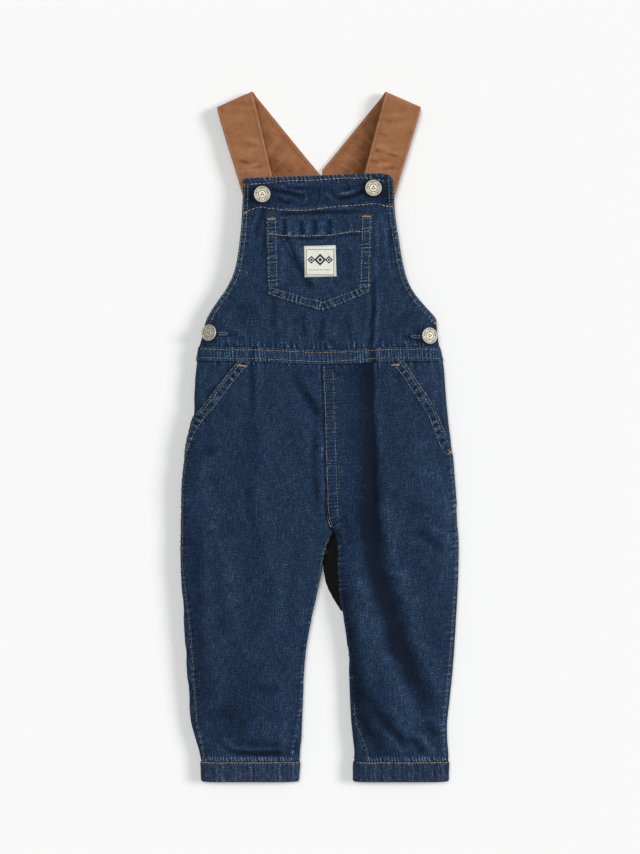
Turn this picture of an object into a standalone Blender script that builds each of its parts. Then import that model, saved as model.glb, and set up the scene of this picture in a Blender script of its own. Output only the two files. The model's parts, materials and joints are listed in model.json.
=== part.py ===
"""Child's dungarees laid face up: denim bib and legs, canvas shoulder straps, metal tack buttons.

Every size below is in millimetres. X runs across the garment, Y from the hems to the straps and
Z up from the surface it lies on. "Right" and "left" are the wearer's, so right is at -X.
The origin is on that surface, under the middle of the whole garment.
"""

import math
from collections import namedtuple

import bmesh
import bpy
from mathutils import Matrix, Vector

MM = 0.001

# Cloth
DENIM = 1.5
CANVAS = 2.0
HEM_WALL = 2.2
POCKET_WALL = 1.3
PATCH_WALL = 1.0
SEAM_GAP = 0.3

# How wide the rounding at a laid tube's edges is, for each millimetre it rises
TOP_SPREAD = 2.2
UNDER_SPREAD = 1.9

SINK_RAMP = 6.0

# Landmarks along the garment
WAIST_TOP = 86.0
WAIST_BOTTOM = 71.7
BACK_WAIST = 79.0
CROTCH = -91.0
HEM_TOP = -308.3
HEM_BOTTOM = -327.75
HEM_RAISE = 0.8
BAND_RAISE = 0.7
FLY_WIDTH = 10.5
FLY_RAISE = 0.6

# Section heights that all pieces of a leg share, from the waist down
LEG_ROWS = [64, 56, 45, 38, 31, 26, 20, 12, 0, -10, -22, -41, -60, -74, -82, -88, -91, -97]
LEG_ROWS += [-108, -120, -131, -143, -155, -169, -183, -200, -217, -234, -250, -271, -286, -299]

# One row for each section of a leg. out and inner are the silhouette, crown the height of the
# front cloth, seam the height of the side seams, side_in and inseam_in how far each seam lies in
# from the silhouette on the upper face.
Leg = namedtuple("Leg", "y out inner crown seam side_in inseam_in")

RIGHT_LEG = [
    Leg(80, -115.8, 2.3, 18.7, 9.0, 0, 0),
    Leg(72, -116.9, 2.4, 19.0, 9.0, 0, 0),
    Leg(64, -117.7, 2.8, 19.6, 9.2, 0, 0),
    Leg(45, -119.0, 3.6, 21.0, 9.5, 0, 0),
    Leg(22, -119.8, 4.3, 22.0, 9.5, 0, 0),
    Leg(5, -124.3, 4.9, 23.0, 9.5, 0, 0),
    Leg(-12, -127.5, 5.3, 23.0, 9.5, 0, 0),
    Leg(-41, -130.8, 6.2, 23.0, 9.5, 0, 0),
    Leg(-74, -131.8, 7.4, 21.5, 9.0, 0, 0),
    Leg(-82, -132.0, 9.0, 21.0, 9.0, 0, 0),
    Leg(-88, -132.1, 11.8, 20.7, 9.0, 0, 0),
    Leg(-91, -132.2, 13.0, 20.5, 9.0, 0, 0),
    Leg(-97, -132.3, 10.2, 20.3, 9.0, 0, 0),
    Leg(-108, -132.5, 5.8, 20.0, 9.0, 0, 0),
    Leg(-131, -131.9, 1.8, 19.5, 9.0, 0.6, 0),
    Leg(-155, -130.6, -3.3, 19.0, 8.5, 2.4, 0),
    Leg(-183, -128.8, -9.2, 18.5, 8.5, 4.0, 0),
    Leg(-217, -126.7, -13.9, 17.5, 8.0, 4.5, 0),
    Leg(-250, -124.5, -15.5, 16.5, 7.5, 4.5, 0.5),
    Leg(-271, -122.4, -16.5, 15.5, 7.0, 4.0, 2.5),
    Leg(-286, -118.5, -17.0, 15.0, 7.0, 3.5, 5.0),
    Leg(-299, -114.6, -18.0, 14.5, 7.0, 2.0, 6.5),
    Leg(-308.3, -113.0, -18.7, 14.0, 7.0, 1.0, 7.0),
    Leg(-328, -112.0, -20.3, 13.5, 6.5, 1.0, 7.0),
]

LEFT_LEG = [
    Leg(80, 115.6, 2.3, 18.7, 9.0, 0, 0),
    Leg(72, 117.4, 2.4, 19.0, 9.0, 0, 0),
    Leg(64, 118.5, 2.8, 19.6, 9.2, 0.6, 0),
    Leg(45, 119.8, 3.6, 21.0, 9.5, 2.4, 0),
    Leg(22, 121.8, 4.3, 22.0, 9.5, 2.4, 0),
    Leg(5, 123.7, 4.9, 23.0, 9.5, 2.0, 0),
    Leg(-12, 126.4, 5.3, 23.0, 9.5, 1.2, 0),
    Leg(-41, 128.9, 6.2, 23.0, 9.5, 1.0, 0),
    Leg(-74, 131.5, 7.4, 21.5, 9.0, 1.0, 0),
    Leg(-82, 131.8, 9.0, 21.0, 9.0, 1.0, 0),
    Leg(-88, 132.0, 11.8, 20.7, 9.0, 1.0, 0),
    Leg(-91, 132.1, 13.3, 20.5, 9.0, 1.0, 0),
    Leg(-97, 132.3, 15.8, 20.3, 9.0, 1.0, 0),
    Leg(-108, 132.5, 17.0, 20.0, 9.0, 1.0, 0),
    Leg(-131, 132.0, 17.2, 19.5, 9.0, 1.2, 0),
    Leg(-155, 131.0, 19.0, 19.0, 8.5, 1.6, 0),
    Leg(-183, 129.4, 24.0, 18.5, 8.5, 2.0, 0),
    Leg(-217, 127.1, 27.5, 17.5, 8.0, 2.2, 0),
    Leg(-250, 123.9, 28.9, 16.5, 7.5, 2.2, 1.0),
    Leg(-271, 121.6, 30.1, 15.5, 7.0, 2.2, 3.0),
    Leg(-286, 121.6, 31.6, 15.0, 7.0, 2.2, 6.5),
    Leg(-299, 122.6, 33.0, 14.5, 7.0, 2.2, 10.0),
    Leg(-308.3, 123.0, 32.6, 14.0, 7.0, 2.2, 12.0),
    Leg(-328, 122.6, 32.6, 13.5, 6.5, 2.2, 12.0),
]

# The front from the waist up. hug is how far the side edges curl down to the side seam.
Bib = namedtuple("Bib", "y left right crown seam hug")

FRONT_BIB = [
    Bib(64, -117.7, 118.5, 19.6, 9.2, 1.0),
    Bib(72, -116.9, 117.4, 19.0, 9.0, 1.0),
    Bib(80, -115.8, 115.6, 18.7, 9.0, 1.0),
    Bib(86, -114.7, 114.4, 18.5, 9.0, 1.0),
    Bib(97, -111.6, 112.6, 18.0, 9.0, 1.0),
    Bib(108, -108.8, 111.7, 17.5, 9.0, 0.96),
    Bib(113, -107.3, 110.6, 17.3, 9.0, 0.9),
    Bib(120, -103.0, 104.2, 17.0, 9.0, 0.75),
    Bib(131, -95.5, 94.8, 16.8, 9.0, 0.55),
    Bib(142, -88.3, 87.4, 16.5, 9.0, 0.4),
    Bib(154, -82.3, 82.2, 16.3, 9.0, 0.3),
    Bib(165, -79.2, 79.4, 16.0, 9.0, 0.25),
    Bib(188, -75.9, 75.3, 15.8, 9.0, 0.2),
    Bib(211, -74.0, 71.9, 15.5, 9.0, 0.2),
    Bib(235, -73.0, 71.0, 15.2, 9.0, 0.2),
    Bib(243, -72.8, 70.4, 15.0, 9.0, 0.2),
    Bib(246, -72.2, 69.4, 15.0, 9.0, 0.2),
    Bib(247.6, -70.8, 67.0, 15.0, 9.0, 0.2),
]

# The back from the waist up, flat on the surface. hug is how far its side edges turn up.
BACK_BIB = [
    Bib(72, -116.9, 117.4, 0, 9.0, 1.0),
    Bib(80, -115.8, 115.6, 0, 9.0, 1.0),
    Bib(86, -114.7, 114.4, 0, 9.0, 1.0),
    Bib(97, -111.4, 112.2, 0, 9.0, 1.0),
    Bib(108, -108.6, 111.2, 0, 9.0, 0.96),
    Bib(114, -105.0, 107.6, 0, 9.0, 0.8),
    Bib(125, -96.0, 97.5, 0, 9.0, 0.4),
    Bib(140, -84.0, 86.0, 0, 9.0, 0.12),
    Bib(159, -68.0, 71.0, 0, 9.0, 0),
    Bib(178, -57.5, 61.0, 0, 9.0, 0),
    Bib(201, -48.5, 52.0, 0, 9.0, 0),
    Bib(220, -43.5, 47.0, 0, 9.0, 0),
    Bib(238, -40.0, 43.5, 0, 9.0, 0),
]

# The slanted pocket's mouth, as the distance in from the silhouette.
Mouth = namedtuple("Mouth", "y inset")

RIGHT_MOUTH = [Mouth(80, 45), Mouth(72, 39), Mouth(45, 20), Mouth(31, 9.5), Mouth(20, 0.3)]
LEFT_MOUTH = [
    Mouth(80, 41),
    Mouth(72, 37),
    Mouth(51, 25),
    Mouth(33, 14.5),
    Mouth(17, 8),
    Mouth(-10, 1.2),
]

# The cloth's largest soft folds: a trough (depth below 0) or ridge along a line, in plan.
Fold = namedtuple("Fold", "x0 y0 x1 y1 depth width")

FOLDS = [
    Fold(51, 66, 52, -60, -2.2, 7),
    Fold(42, -40, 66, -150, -3.2, 15),
    Fold(66, -150, 98, -245, -3.6, 13),
    Fold(30, -130, 62, -250, 1.6, 15),
    Fold(92, -10, 102, -120, 1.2, 22),
    Fold(-24, 56, -6, 20, -2.4, 8),
    Fold(-62, -20, -50, -160, 1.4, 24),
    Fold(-96, -60, -92, -230, -1.8, 16),
    Fold(-75, -292, -35, -300, -1.6, 8),
    Fold(70, -290, 108, -300, -2.0, 8),
    Fold(14, -60, 34, -100, -2.0, 7),
    Fold(-8, -75, -34, -120, -1.6, 9),
    Fold(-60, 150, -80, 104, -0.8, 12),
    Fold(66, 150, 84, 108, -0.8, 12),
]

# Shoulder straps: the front length, the fold over the shoulder, the back length
STRAP_WIDTH_BIB = 33.0
STRAP_WIDTH_FOLD = 38.0
STRAP_LEAN = math.radians(15.8)
FOLD_ANGLE = math.radians(27.0)
FOLD_MIDDLE = Vector((-79.8, 318.1))
FOLD_RADIUS = 6.2
STRAP_UNDER_BIB = 108.0
BACK_CENTRE = 2.4
STRAP_SAG = 1.6
ON_BACK_BIB = 1.9

# Bib pocket and the plain patch on it
POCKET_LEFT = -50.6
POCKET_RIGHT = 49.6
POCKET_TOP_LEFT = 208.8
POCKET_TOP_RIGHT = 211.4
POCKET_SIDE_LEFT = 134.8
POCKET_SIDE_RIGHT = 137.4
POCKET_POINT = Vector((3.5, 118.8))
PATCH_MIDDLE = Vector((0.6, 166.5))
PATCH_SIZE = Vector((30.0, 29.5))
PATCH_TURN = math.radians(1.6)

# Tack buttons: radius and height down the turned outer side
BUTTON_RADIUS = 7.75
BUTTON_NECK = 3.0
BUTTON_PROFILE = [
    (0, 3.7),
    (1.7, 3.5),
    (2.4, 2.9),
    (5.6, 2.9),
    (6.4, 3.4),
    (BUTTON_RADIUS, 2.6),
    (7.2, 1.6),
    (BUTTON_NECK, 1.4),
    (BUTTON_NECK, 0),
    (0, 0),
]
BUTTON_STEPS = 20
Button = namedtuple("Button", "name x y tilt lift")
BUTTONS = [
    Button("strap_button_right", -54.3, 230.0, 0, 0.35),
    Button("strap_button_left", 51.1, 235.9, 0, 0.35),
    Button("side_button_right", -103.3, 98.4, -10, 0.9),
    Button("side_button_left", 103.0, 95.7, 10, 0.9),
]

Finish = namedtuple("Finish", "colour roughness metallic")
FINISHES = {
    "denim": Finish((0.020, 0.035, 0.075), 0.9, 0.0),
    "canvas": Finish((0.300, 0.130, 0.060), 0.85, 0.0),
    "woven_patch": Finish((0.640, 0.620, 0.540), 0.8, 0.0),
    "button_metal": Finish((0.560, 0.520, 0.420), 0.35, 1.0),
}


# ---------------------------------------------------------------- tables and profiles


def row_at(table, y):
    """The table's row at height y, on smooth curves through its columns."""
    rows = sorted(table, key=lambda row: row.y)
    y = min(max(y, rows[0].y), rows[-1].y)
    i = max(k for k in range(len(rows) - 1) if rows[k].y <= y)
    low, high = rows[i], rows[i + 1]
    before, after = rows[max(i - 1, 0)], rows[min(i + 2, len(rows) - 1)]
    span = high.y - low.y
    t = (y - low.y) / span

    def column(name):
        a, b = getattr(low, name), getattr(high, name)
        slope_a = (b - getattr(before, name)) / (high.y - before.y) * span
        slope_b = (getattr(after, name) - a) / (after.y - low.y) * span
        return (
            (2 * t**3 - 3 * t**2 + 1) * a
            + (t**3 - 2 * t**2 + t) * slope_a
            + (3 * t**2 - 2 * t**3) * b
            + (t**3 - t**2) * slope_b
        )

    return type(low)(*[y if name == "y" else column(name) for name in low._fields])


def ease(value, start, end):
    """0 at start, 1 at end and smooth between them."""
    t = min(max((value - start) / (end - start), 0), 1)
    return t * t * (3 - 2 * t)


def reach(row, side):
    """Width of the rounding at a tube's edge: on the upper face for side 1, under it for -1."""
    return TOP_SPREAD * (row.crown - row.seam) if side > 0 else UNDER_SPREAD * row.seam


def bulge(depth, width):
    """How far a laid tube has risen at this depth in from its edge, from 0 to 1."""
    left = 1 - min(max(depth / width, 0), 1)
    return math.sqrt(1 - left * left)


def edge_depth(row, w):
    """Distance in from a tube's edge at w: 0 at the edge, 1 where the upper face is level.

    Below 0 it runs round the lower face, to -1 where that is flat.
    """
    return reach(row, w) * w * w


def edge_at(row, depth, gap=0.0):
    """The edge parameter w that far in on the upper face, moved by a gap along the cloth."""
    side = 1 if gap >= 0 else -1
    w = math.sqrt(max(depth, 0) / reach(row, 1)) if depth > 0.05 else 0.0
    rise = row.crown - row.seam if side > 0 or w > 0.05 else row.seam
    speed = math.hypot(2 * reach(row, 1) * w, math.sqrt(2) * rise)
    return w + gap / speed


def spread(start, end, count):
    """count + 1 even values from start to end."""
    return [start + (end - start) * i / count for i in range(count + 1)]


def fold_height(x, y):
    """Height that the soft folds add at a point."""
    total = 0.0
    for fold in FOLDS:
        along = Vector((fold.x1 - fold.x0, fold.y1 - fold.y0))
        t = Vector((x - fold.x0, y - fold.y0)).dot(along) / along.length_squared
        t_near = min(max(t, 0), 1)
        away = Vector((x - fold.x0 - along.x * t_near, y - fold.y0 - along.y * t_near)).length
        total += fold.depth * math.exp(-((away / fold.width) ** 2))
    return total


# ---------------------------------------------------------------- the garment's surface


def bib_height(x, y, table=FRONT_BIB):
    """Height of the front's outer face above the waist's lower edge."""
    row = row_at(table, y)
    share = 1 - row.hug * (1 - bulge(x - row.left, reach(row, 1)))
    share *= 1 - row.hug * (1 - bulge(row.right - x, reach(row, 1)))
    return row.seam + (row.crown - row.seam + fold_height(x, y)) * share


def back_bib_height(x, y):
    """Height of the back's outer face above the waist: flat, with its sides turned up."""
    row = row_at(BACK_BIB, y)
    share = bulge(x - row.left, reach(row, -1)) * bulge(row.right - x, reach(row, -1))
    return row.seam * max(row.hug, 0) * (1 - share)


def leg_height(table, x, y, sink=0.0):
    """Height of a front leg's outer face. sink lowers it, for what lies under the pocket's mouth."""
    row = row_at(table, y)
    split = ease(y, CROTCH + 46, CROTCH)
    inner_depth = abs(row.inner - x)
    sink *= ease(abs(x - row.out) - row.side_in, 0, SINK_RAMP)
    share = bulge(abs(x - row.out), reach(row, 1))
    share *= 1 - split * (1 - bulge(inner_depth, reach(row, 1)))
    fly = FLY_RAISE * ease(inner_depth, FLY_WIDTH + 1, FLY_WIDTH - 1) * (1 - split)
    if table is RIGHT_LEG or y > WAIST_BOTTOM:
        fly = 0.0
    return row.seam + (row.crown - sink - row.seam + fold_height(x, y) + fly) * share


def leg_underside(table, x, y):
    """Height of a back leg's outer face."""
    row = row_at(table, y)
    split = ease(y, CROTCH + 16, CROTCH)
    share = bulge(abs(x - row.out), reach(row, -1))
    share *= 1 - split * (1 - bulge(abs(row.inner - x), reach(row, -1)))
    return row.seam * (1 - share)


def leg_edge_point(table, y, w, edge, sink=0.0):
    """Point of a leg's section near its outer or inner edge, as (x, z)."""
    row = row_at(table, y)
    inward = 1 if row.inner > row.out else -1
    if edge == "inner":
        start = row.inner - inward * SEAM_GAP / 2
        x = start - inward * edge_depth(row, w)
    else:
        x = row.out + inward * edge_depth(row, w)
    z = leg_height(table, x, y, sink) if w >= 0 else leg_underside(table, x, y)
    return Vector((x, z))


def outward(before, after):
    """Unit normal of a section between two of its points, in the section's plane."""
    run = (after - before).normalized()
    return Vector((-run.y, run.x))


def wall_pair(point, normal, y, wall):
    """The outer and the inner point of a wall at one point of a section."""
    inner = point - normal * wall
    return Vector((point.x, y, point.y)), Vector((inner.x, y, inner.y))


def edge_pair(table, y, w, edge, wall, facing, sink=0.0):
    """A wall's two points near a leg's edge. facing is 1 for the front and -1 for the back."""
    small = 0.01
    row = row_at(table, y)
    point = leg_edge_point(table, y, w, edge, sink)
    before = leg_edge_point(table, y, w - small, edge, sink)
    after = leg_edge_point(table, y, w + small, edge, sink)
    normal = outward(before, after)
    middle = Vector(((row.out + row.inner) / 2, row.seam))
    if normal.dot(point - middle) < 0:
        normal = -normal
    if edge == "inner":
        split = ease(y, CROTCH + (46 if facing > 0 else 16), CROTCH)
        normal = (normal * split + Vector((0, facing)) * (1 - split)).normalized()
    return wall_pair(point, normal, y, wall)


def face_pair(height, x, y, wall, facing):
    """A wall's two points on an upper or under face away from the edges."""
    small = 0.5
    before = Vector((x - small, height(x - small)))
    after = Vector((x + small, height(x + small)))
    normal = outward(before, after)
    if normal.y * facing < 0:
        normal = -normal
    return wall_pair(Vector((x, height(x))), normal, y, wall)


# ---------------------------------------------------------------- meshes


def material(name):
    """The named finish as a Principled material, made once."""
    if name in bpy.data.materials:
        return bpy.data.materials[name]
    made = bpy.data.materials.new(name)
    made.use_nodes = True
    shader = made.node_tree.nodes["Principled BSDF"]
    finish = FINISHES[name]
    shader.inputs["Base Color"].default_value = (*finish.colour, 1)
    shader.inputs["Roughness"].default_value = finish.roughness
    shader.inputs["Metallic"].default_value = finish.metallic
    return made


def add_object(name, mesh, finish):
    """Links a mesh to the garment's collection as one named, smooth-shaded object."""
    mesh.materials.append(material(finish))
    mesh.shade_smooth()
    mesh.set_sharp_from_angle(angle=math.radians(40))
    made = bpy.data.objects.new(name, mesh)
    GARMENT.objects.link(made)
    return made


def loft_wall(name, sections, finish, closed=False):
    """A cloth wall through sections, each a list of (outer point, inner point).

    closed joins each section's last point to its first, for a tube.
    """
    mesh = bpy.data.meshes.new(name)
    work = bmesh.new()
    outer = [[work.verts.new(o * MM) for o, _ in section] for section in sections]
    inner = [[work.verts.new(i * MM) for _, i in section] for section in sections]
    count = len(sections[0])
    steps = range(count if closed else count - 1)
    for j in range(len(sections) - 1):
        for i in steps:
            n = (i + 1) % count
            work.faces.new((outer[j][i], outer[j][n], outer[j + 1][n], outer[j + 1][i]))
            work.faces.new((inner[j][i], inner[j + 1][i], inner[j + 1][n], inner[j][n]))
        if not closed:
            for i in (0, count - 1):
                work.faces.new((outer[j][i], outer[j + 1][i], inner[j + 1][i], inner[j][i]))
    for j in (0, len(sections) - 1):
        for i in steps:
            n = (i + 1) % count
            work.faces.new((outer[j][i], inner[j][i], inner[j][n], outer[j][n]))
    bmesh.ops.recalc_face_normals(work, faces=work.faces)
    work.to_mesh(mesh)
    work.free()
    return add_object(name, mesh, finish)


def solid_sheet(name, rows, wall, offset, finish):
    """A sheet through rows of points, with a Solidify modifier for its wall.

    offset 1 thickens it above the points, and -1 below them.
    """
    mesh = bpy.data.meshes.new(name)
    work = bmesh.new()
    grid = [[work.verts.new(point * MM) for point in row] for row in rows]
    for low, high in zip(grid, grid[1:]):
        for i in range(len(low) - 1):
            work.faces.new((low[i], low[i + 1], high[i + 1], high[i]))
    work.to_mesh(mesh)
    work.free()
    made = add_object(name, mesh, finish)
    solidify = made.modifiers.new("wall", "SOLIDIFY")
    solidify.thickness = wall * MM
    solidify.offset = offset
    return made


# ---------------------------------------------------------------- denim pieces


def build_front_leg(name, table, mouth):
    """A front leg from the waist to the hem, cut away along its pocket's mouth."""
    sections = []
    for y in [WAIST_BOTTOM - SEAM_GAP, *LEG_ROWS, HEM_TOP + SEAM_GAP]:
        row = row_at(table, y)
        inset = row.side_in
        if y > mouth[-1].y:
            inset = max(inset, row_at(mouth, y).inset)
        start = edge_at(row, inset, SEAM_GAP / 2)
        end = edge_at(row, row.inseam_in, SEAM_GAP / 2)
        inward = 1 if row.inner > row.out else -1
        first = row.out + inward * edge_depth(row, max(start + 0.1, 1))
        last = row.inner - inward * edge_depth(row, 1)
        near = spread(start, max(start + 0.1, 1), 5)
        section = [edge_pair(table, y, w, "out", DENIM, 1) for w in near]
        for x in spread(first, last, 5)[1:-1]:
            section.append(face_pair(lambda at: leg_height(table, at, y), x, y, DENIM, 1))
        section += [edge_pair(table, y, w, "inner", DENIM, 1) for w in spread(1, end, 5)]
        sections.append(section)
    loft_wall(name, sections, "denim")


def build_hip_panel(name, table, mouth):
    """The cloth that shows inside the slanted pocket's mouth, one layer lower."""
    sink = DENIM + 3 * SEAM_GAP
    sections = []
    for y in [WAIST_BOTTOM - SEAM_GAP, *LEG_ROWS]:
        row = row_at(table, y)
        inset = row_at(mouth, y).inset
        underlap = 6.4 * ease(inset, 14, 20) - 2 * SEAM_GAP
        start = edge_at(row, row.side_in, SEAM_GAP / 2)
        end = edge_at(row, inset + underlap)
        if end < start + 0.06 or y < mouth[-1].y:
            break
        sections.append(
            [edge_pair(table, y, w, "out", DENIM, 1, sink) for w in spread(start, end, 6)]
        )
    loft_wall(name, sections, "denim")


def build_back_leg(name, table):
    """A back leg from the waist to the hem. It wraps up to the side seam and the inseam."""
    sections = []
    for y in [BACK_WAIST - SEAM_GAP, WAIST_BOTTOM, *LEG_ROWS, HEM_TOP + SEAM_GAP]:
        row = row_at(table, y)
        start = edge_at(row, row.side_in, -SEAM_GAP / 2)
        end = edge_at(row, row.inseam_in, -SEAM_GAP / 2)
        inward = 1 if row.inner > row.out else -1
        first = row.out + inward * edge_depth(row, -1)
        last = row.inner - inward * edge_depth(row, -1)
        section = [edge_pair(table, y, w, "out", DENIM, -1) for w in spread(start, -1, 6)]
        for x in spread(first, last, 3)[1:-1]:
            section.append(face_pair(lambda at: leg_underside(table, at, y), x, y, DENIM, -1))
        section += [edge_pair(table, y, w, "inner", DENIM, -1) for w in spread(-1, end, 6)]
        sections.append(section)
    loft_wall(name, sections, "denim")


def build_hem(name, table):
    """The turned-up hem: a thicker tube at the end of a leg."""
    sections = []
    for y in spread(HEM_TOP, HEM_BOTTOM, 2):
        row = row_at(table, y)
        inward = 1 if row.inner > row.out else -1
        ring = []
        for w in spread(-1, 1, 10):
            ring.append(edge_pair(table, y, w, "out", HEM_WALL, 1))
        middle = (row.out + row.inner) / 2
        for x in (middle - inward * 15, middle, middle + inward * 15):
            ring.append(face_pair(lambda at: leg_height(table, at, y), x, y, HEM_WALL, 1))
        for w in spread(1, -1, 10):
            ring.append(edge_pair(table, y, w, "inner", HEM_WALL, 1))
        for x in (middle + inward * 16, middle - inward * 16):
            ring.append(face_pair(lambda at: leg_underside(table, at, y), x, y, HEM_WALL, -1))
        sections.append([raise_pair(pair) for pair in ring])
    loft_wall(name, sections, "denim", closed=True)


def raise_pair(pair):
    """Moves a wall's outer point out by the hem's extra layer, but never under the surface."""
    outer, inner = pair
    raised = outer + (outer - inner).normalized() * HEM_RAISE
    raised.z = max(raised.z, 0.0)
    return raised, inner


def front_section(y, wall, columns, tilt=0.0, raised=0.0):
    """One section across the whole front at or above the waist."""
    row = row_at(FRONT_BIB, y)
    pairs = []
    start = edge_at(row, 0, SEAM_GAP / 2)
    left = [row.left + edge_depth(row, w) for w in spread(start, 1, columns)]
    right = [row.right - edge_depth(row, w) for w in spread(1, start, columns)]
    middle = spread(left[-1], right[0], 6)[1:-1]
    for x in left + middle + right:
        z = bib_height(x, y)
        small = 0.02
        normal = outward(
            Vector((x - small, bib_height(x - small, y))),
            Vector((x + small, bib_height(x + small, y))),
        )
        side = min(x - row.left, row.right - x)
        if side < 0.1:
            across = Vector((-1 if x < 0 else 1, 0))
            normal = (across * row.hug + Vector((0, 1)) * (1 - row.hug)).normalized()
        outer, inner = wall_pair(Vector((x, z)), normal, y, wall)
        outer += Vector((normal.x, 0, normal.y)) * raised
        shift = Vector((0, tilt * x, 0))
        pairs.append((outer + shift, inner + shift))
    return pairs


def bib_tilt(y):
    """How much the bib's rows slope across the garment, near its top edge."""
    return 0.035 * ease(y, 150, 244)


def build_front_bib():
    """The front bib, from the waist band to its straight top edge."""
    rows = [WAIST_TOP + SEAM_GAP, 92, 98, 104, 109, 113, 118, 124, 131, 139, 148, 158, 170]
    rows += [184, 198, 212, 226, 238, 243, 246, 247.6]
    sections = [front_section(y, DENIM, 5, bib_tilt(y)) for y in rows]
    loft_wall("front_bib", sections, "denim")


def build_waist_band():
    """The stitched band between the bib and the legs, on the front."""
    rows = spread(WAIST_BOTTOM, WAIST_TOP, 2)
    sections = [front_section(y, DENIM, 6, raised=BAND_RAISE) for y in rows]
    loft_wall("waist_band", sections, "denim")


def build_back_bib():
    """The back bib: flat on the surface and narrowing to the straps."""
    sections = []
    for y in [BACK_WAIST, 88, 97, 104, 109, 114, 120, 127, 138, 150, 165, 182, 200, 220, 238]:
        row = row_at(BACK_BIB, y)
        start = SEAM_GAP / 2 / (math.sqrt(2) * row.seam)
        left = [row.left + edge_depth(row, -w) for w in spread(start, 1, 4)]
        right = [row.right - edge_depth(row, -w) for w in spread(1, start, 4)]
        pairs = []
        for x in left + spread(left[-1], right[0], 4)[1:-1] + right:
            side = min(x - row.left, row.right - x)
            pair = face_pair(lambda at: back_bib_height(at, y), x, y, DENIM, -1)
            if side < 0.1:
                hug = max(row.hug, 0)
                across = Vector((-1 if x < 0 else 1, 0))
                normal = (across * hug - Vector((0, 1)) * (1 - hug)).normalized()
                z = (row.seam - SEAM_GAP / 2) * hug
                pair = wall_pair(Vector((x, z)), normal, y, DENIM)
            pairs.append(pair)
        sections.append(pairs)
    loft_wall("back_bib", sections, "denim")


# ---------------------------------------------------------------- straps


def strap_point(mirror, depth, across):
    """A point of the folded strap's outer face.

    depth runs from the bib (below 0) over the shoulder's fold and down the back, square to the
    fold. across is -1 to 1 over the strap's width. mirror is 1 for the right strap, -1 for the left.
    """
    width = STRAP_WIDTH_BIB + (STRAP_WIDTH_FOLD - STRAP_WIDTH_BIB) * ease(depth, -85, 0)
    across *= width / 2
    fold = Vector((math.cos(FOLD_ANGLE), math.sin(FOLD_ANGLE)))
    away = Vector((-fold.y, fold.x))
    up = Vector((-math.sin(STRAP_LEAN), math.cos(STRAP_LEAN)))
    side = Vector((up.y, -up.x))
    along = (depth - across * side.dot(away)) / up.dot(away)
    flat = up * along + side * across
    base = FOLD_MIDDLE - away * FOLD_RADIUS
    turn = depth / FOLD_RADIUS
    if depth <= 0:
        plan = base + flat
        z = strap_front_height(mirrored(plan, mirror))
    elif turn < math.pi:
        plan = base + fold * flat.dot(fold) + away * FOLD_RADIUS * math.sin(turn)
        z = FOLD_RADIUS * (1 + math.cos(turn))
    else:
        plan = base + fold * flat.dot(fold) - away * (depth - math.pi * FOLD_RADIUS)
        z = ON_BACK_BIB * ease(plan.y, 262, 243)
    plan = mirrored(plan, mirror)
    return Vector((plan.x, plan.y, z))


def mirrored(plan, mirror):
    """The plan point, across the garment's middle line when mirror is -1."""
    return Vector((plan.x * mirror, plan.y))


def strap_front_height(plan):
    """Height of the strap's front length: level from the fold, then close under the bib."""
    free = 2 * FOLD_RADIUS
    tucked = bib_height(plan.x, plan.y) - DENIM - 2 * SEAM_GAP
    share = ease(plan.y, 270, 251)
    sag = STRAP_SAG * math.sin(math.pi * ease(plan.y, 314, 255)) ** 2
    return free * (1 - share) + tucked * share - sag


def strap_end(mirror, across):
    """The depth at which the strap's back length meets the garment's middle line."""
    middle = BACK_CENTRE * mirror - SEAM_GAP / 2
    start = math.pi * FOLD_RADIUS
    here = strap_point(mirror, start, across).x * mirror
    further = strap_point(mirror, start + 1, across).x * mirror
    return start + (middle - here) / (further - here)


def build_strap(name, mirror):
    """A canvas strap: out from under the bib, folded at the shoulder, sewn to the back."""
    lines = spread(-1, 1, 4)
    turn = spread(0, math.pi * FOLD_RADIUS, 8)
    columns = []
    for across in lines:
        front = spread(-STRAP_UNDER_BIB, 0, 10)[:-1]
        back = spread(turn[-1], strap_end(mirror, across), 9)[1:]
        columns.append([(depth, across) for depth in front + turn + back])
    rows = [[strap_point(mirror, *place) for place in places] for places in zip(*columns)]
    if mirror < 0:
        rows = [row[::-1] for row in rows]
    solid_sheet(name, rows, CANVAS, -1, "canvas")


# ---------------------------------------------------------------- what lies on the bib


def lay_on_front(name, grid, base, wall, finish):
    """A flat piece that lies on the bib: a grid of plan points, base above the bib's face."""
    rows = []
    for line in grid:
        heights = [bib_height(x, y - bib_tilt(y) * x) + base for x, y in line]
        rows.append([Vector((x, y, z)) for (x, y), z in zip(line, heights)])
    solid_sheet(name, rows, wall, 1, finish)


def build_bib_pocket():
    """The patch pocket, with its pointed lower edge."""
    grid = []
    for v in spread(1, 0, 7):
        line = []
        for u in spread(0, 1, 12):
            x = POCKET_LEFT + (POCKET_RIGHT - POCKET_LEFT) * u
            top = POCKET_TOP_LEFT + (POCKET_TOP_RIGHT - POCKET_TOP_LEFT) * u
            if x < POCKET_POINT.x:
                t = (x - POCKET_LEFT) / (POCKET_POINT.x - POCKET_LEFT)
                side = POCKET_SIDE_LEFT
            else:
                t = (POCKET_RIGHT - x) / (POCKET_RIGHT - POCKET_POINT.x)
                side = POCKET_SIDE_RIGHT
            foot = side + (POCKET_POINT.y - side) * t
            pull = 1.8 * v * (1 - 2 * u)
            line.append((x + pull, top + (foot - top) * v))
        grid.append(line)
    lay_on_front("bib_pocket", grid, SEAM_GAP, POCKET_WALL, "denim")


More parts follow.
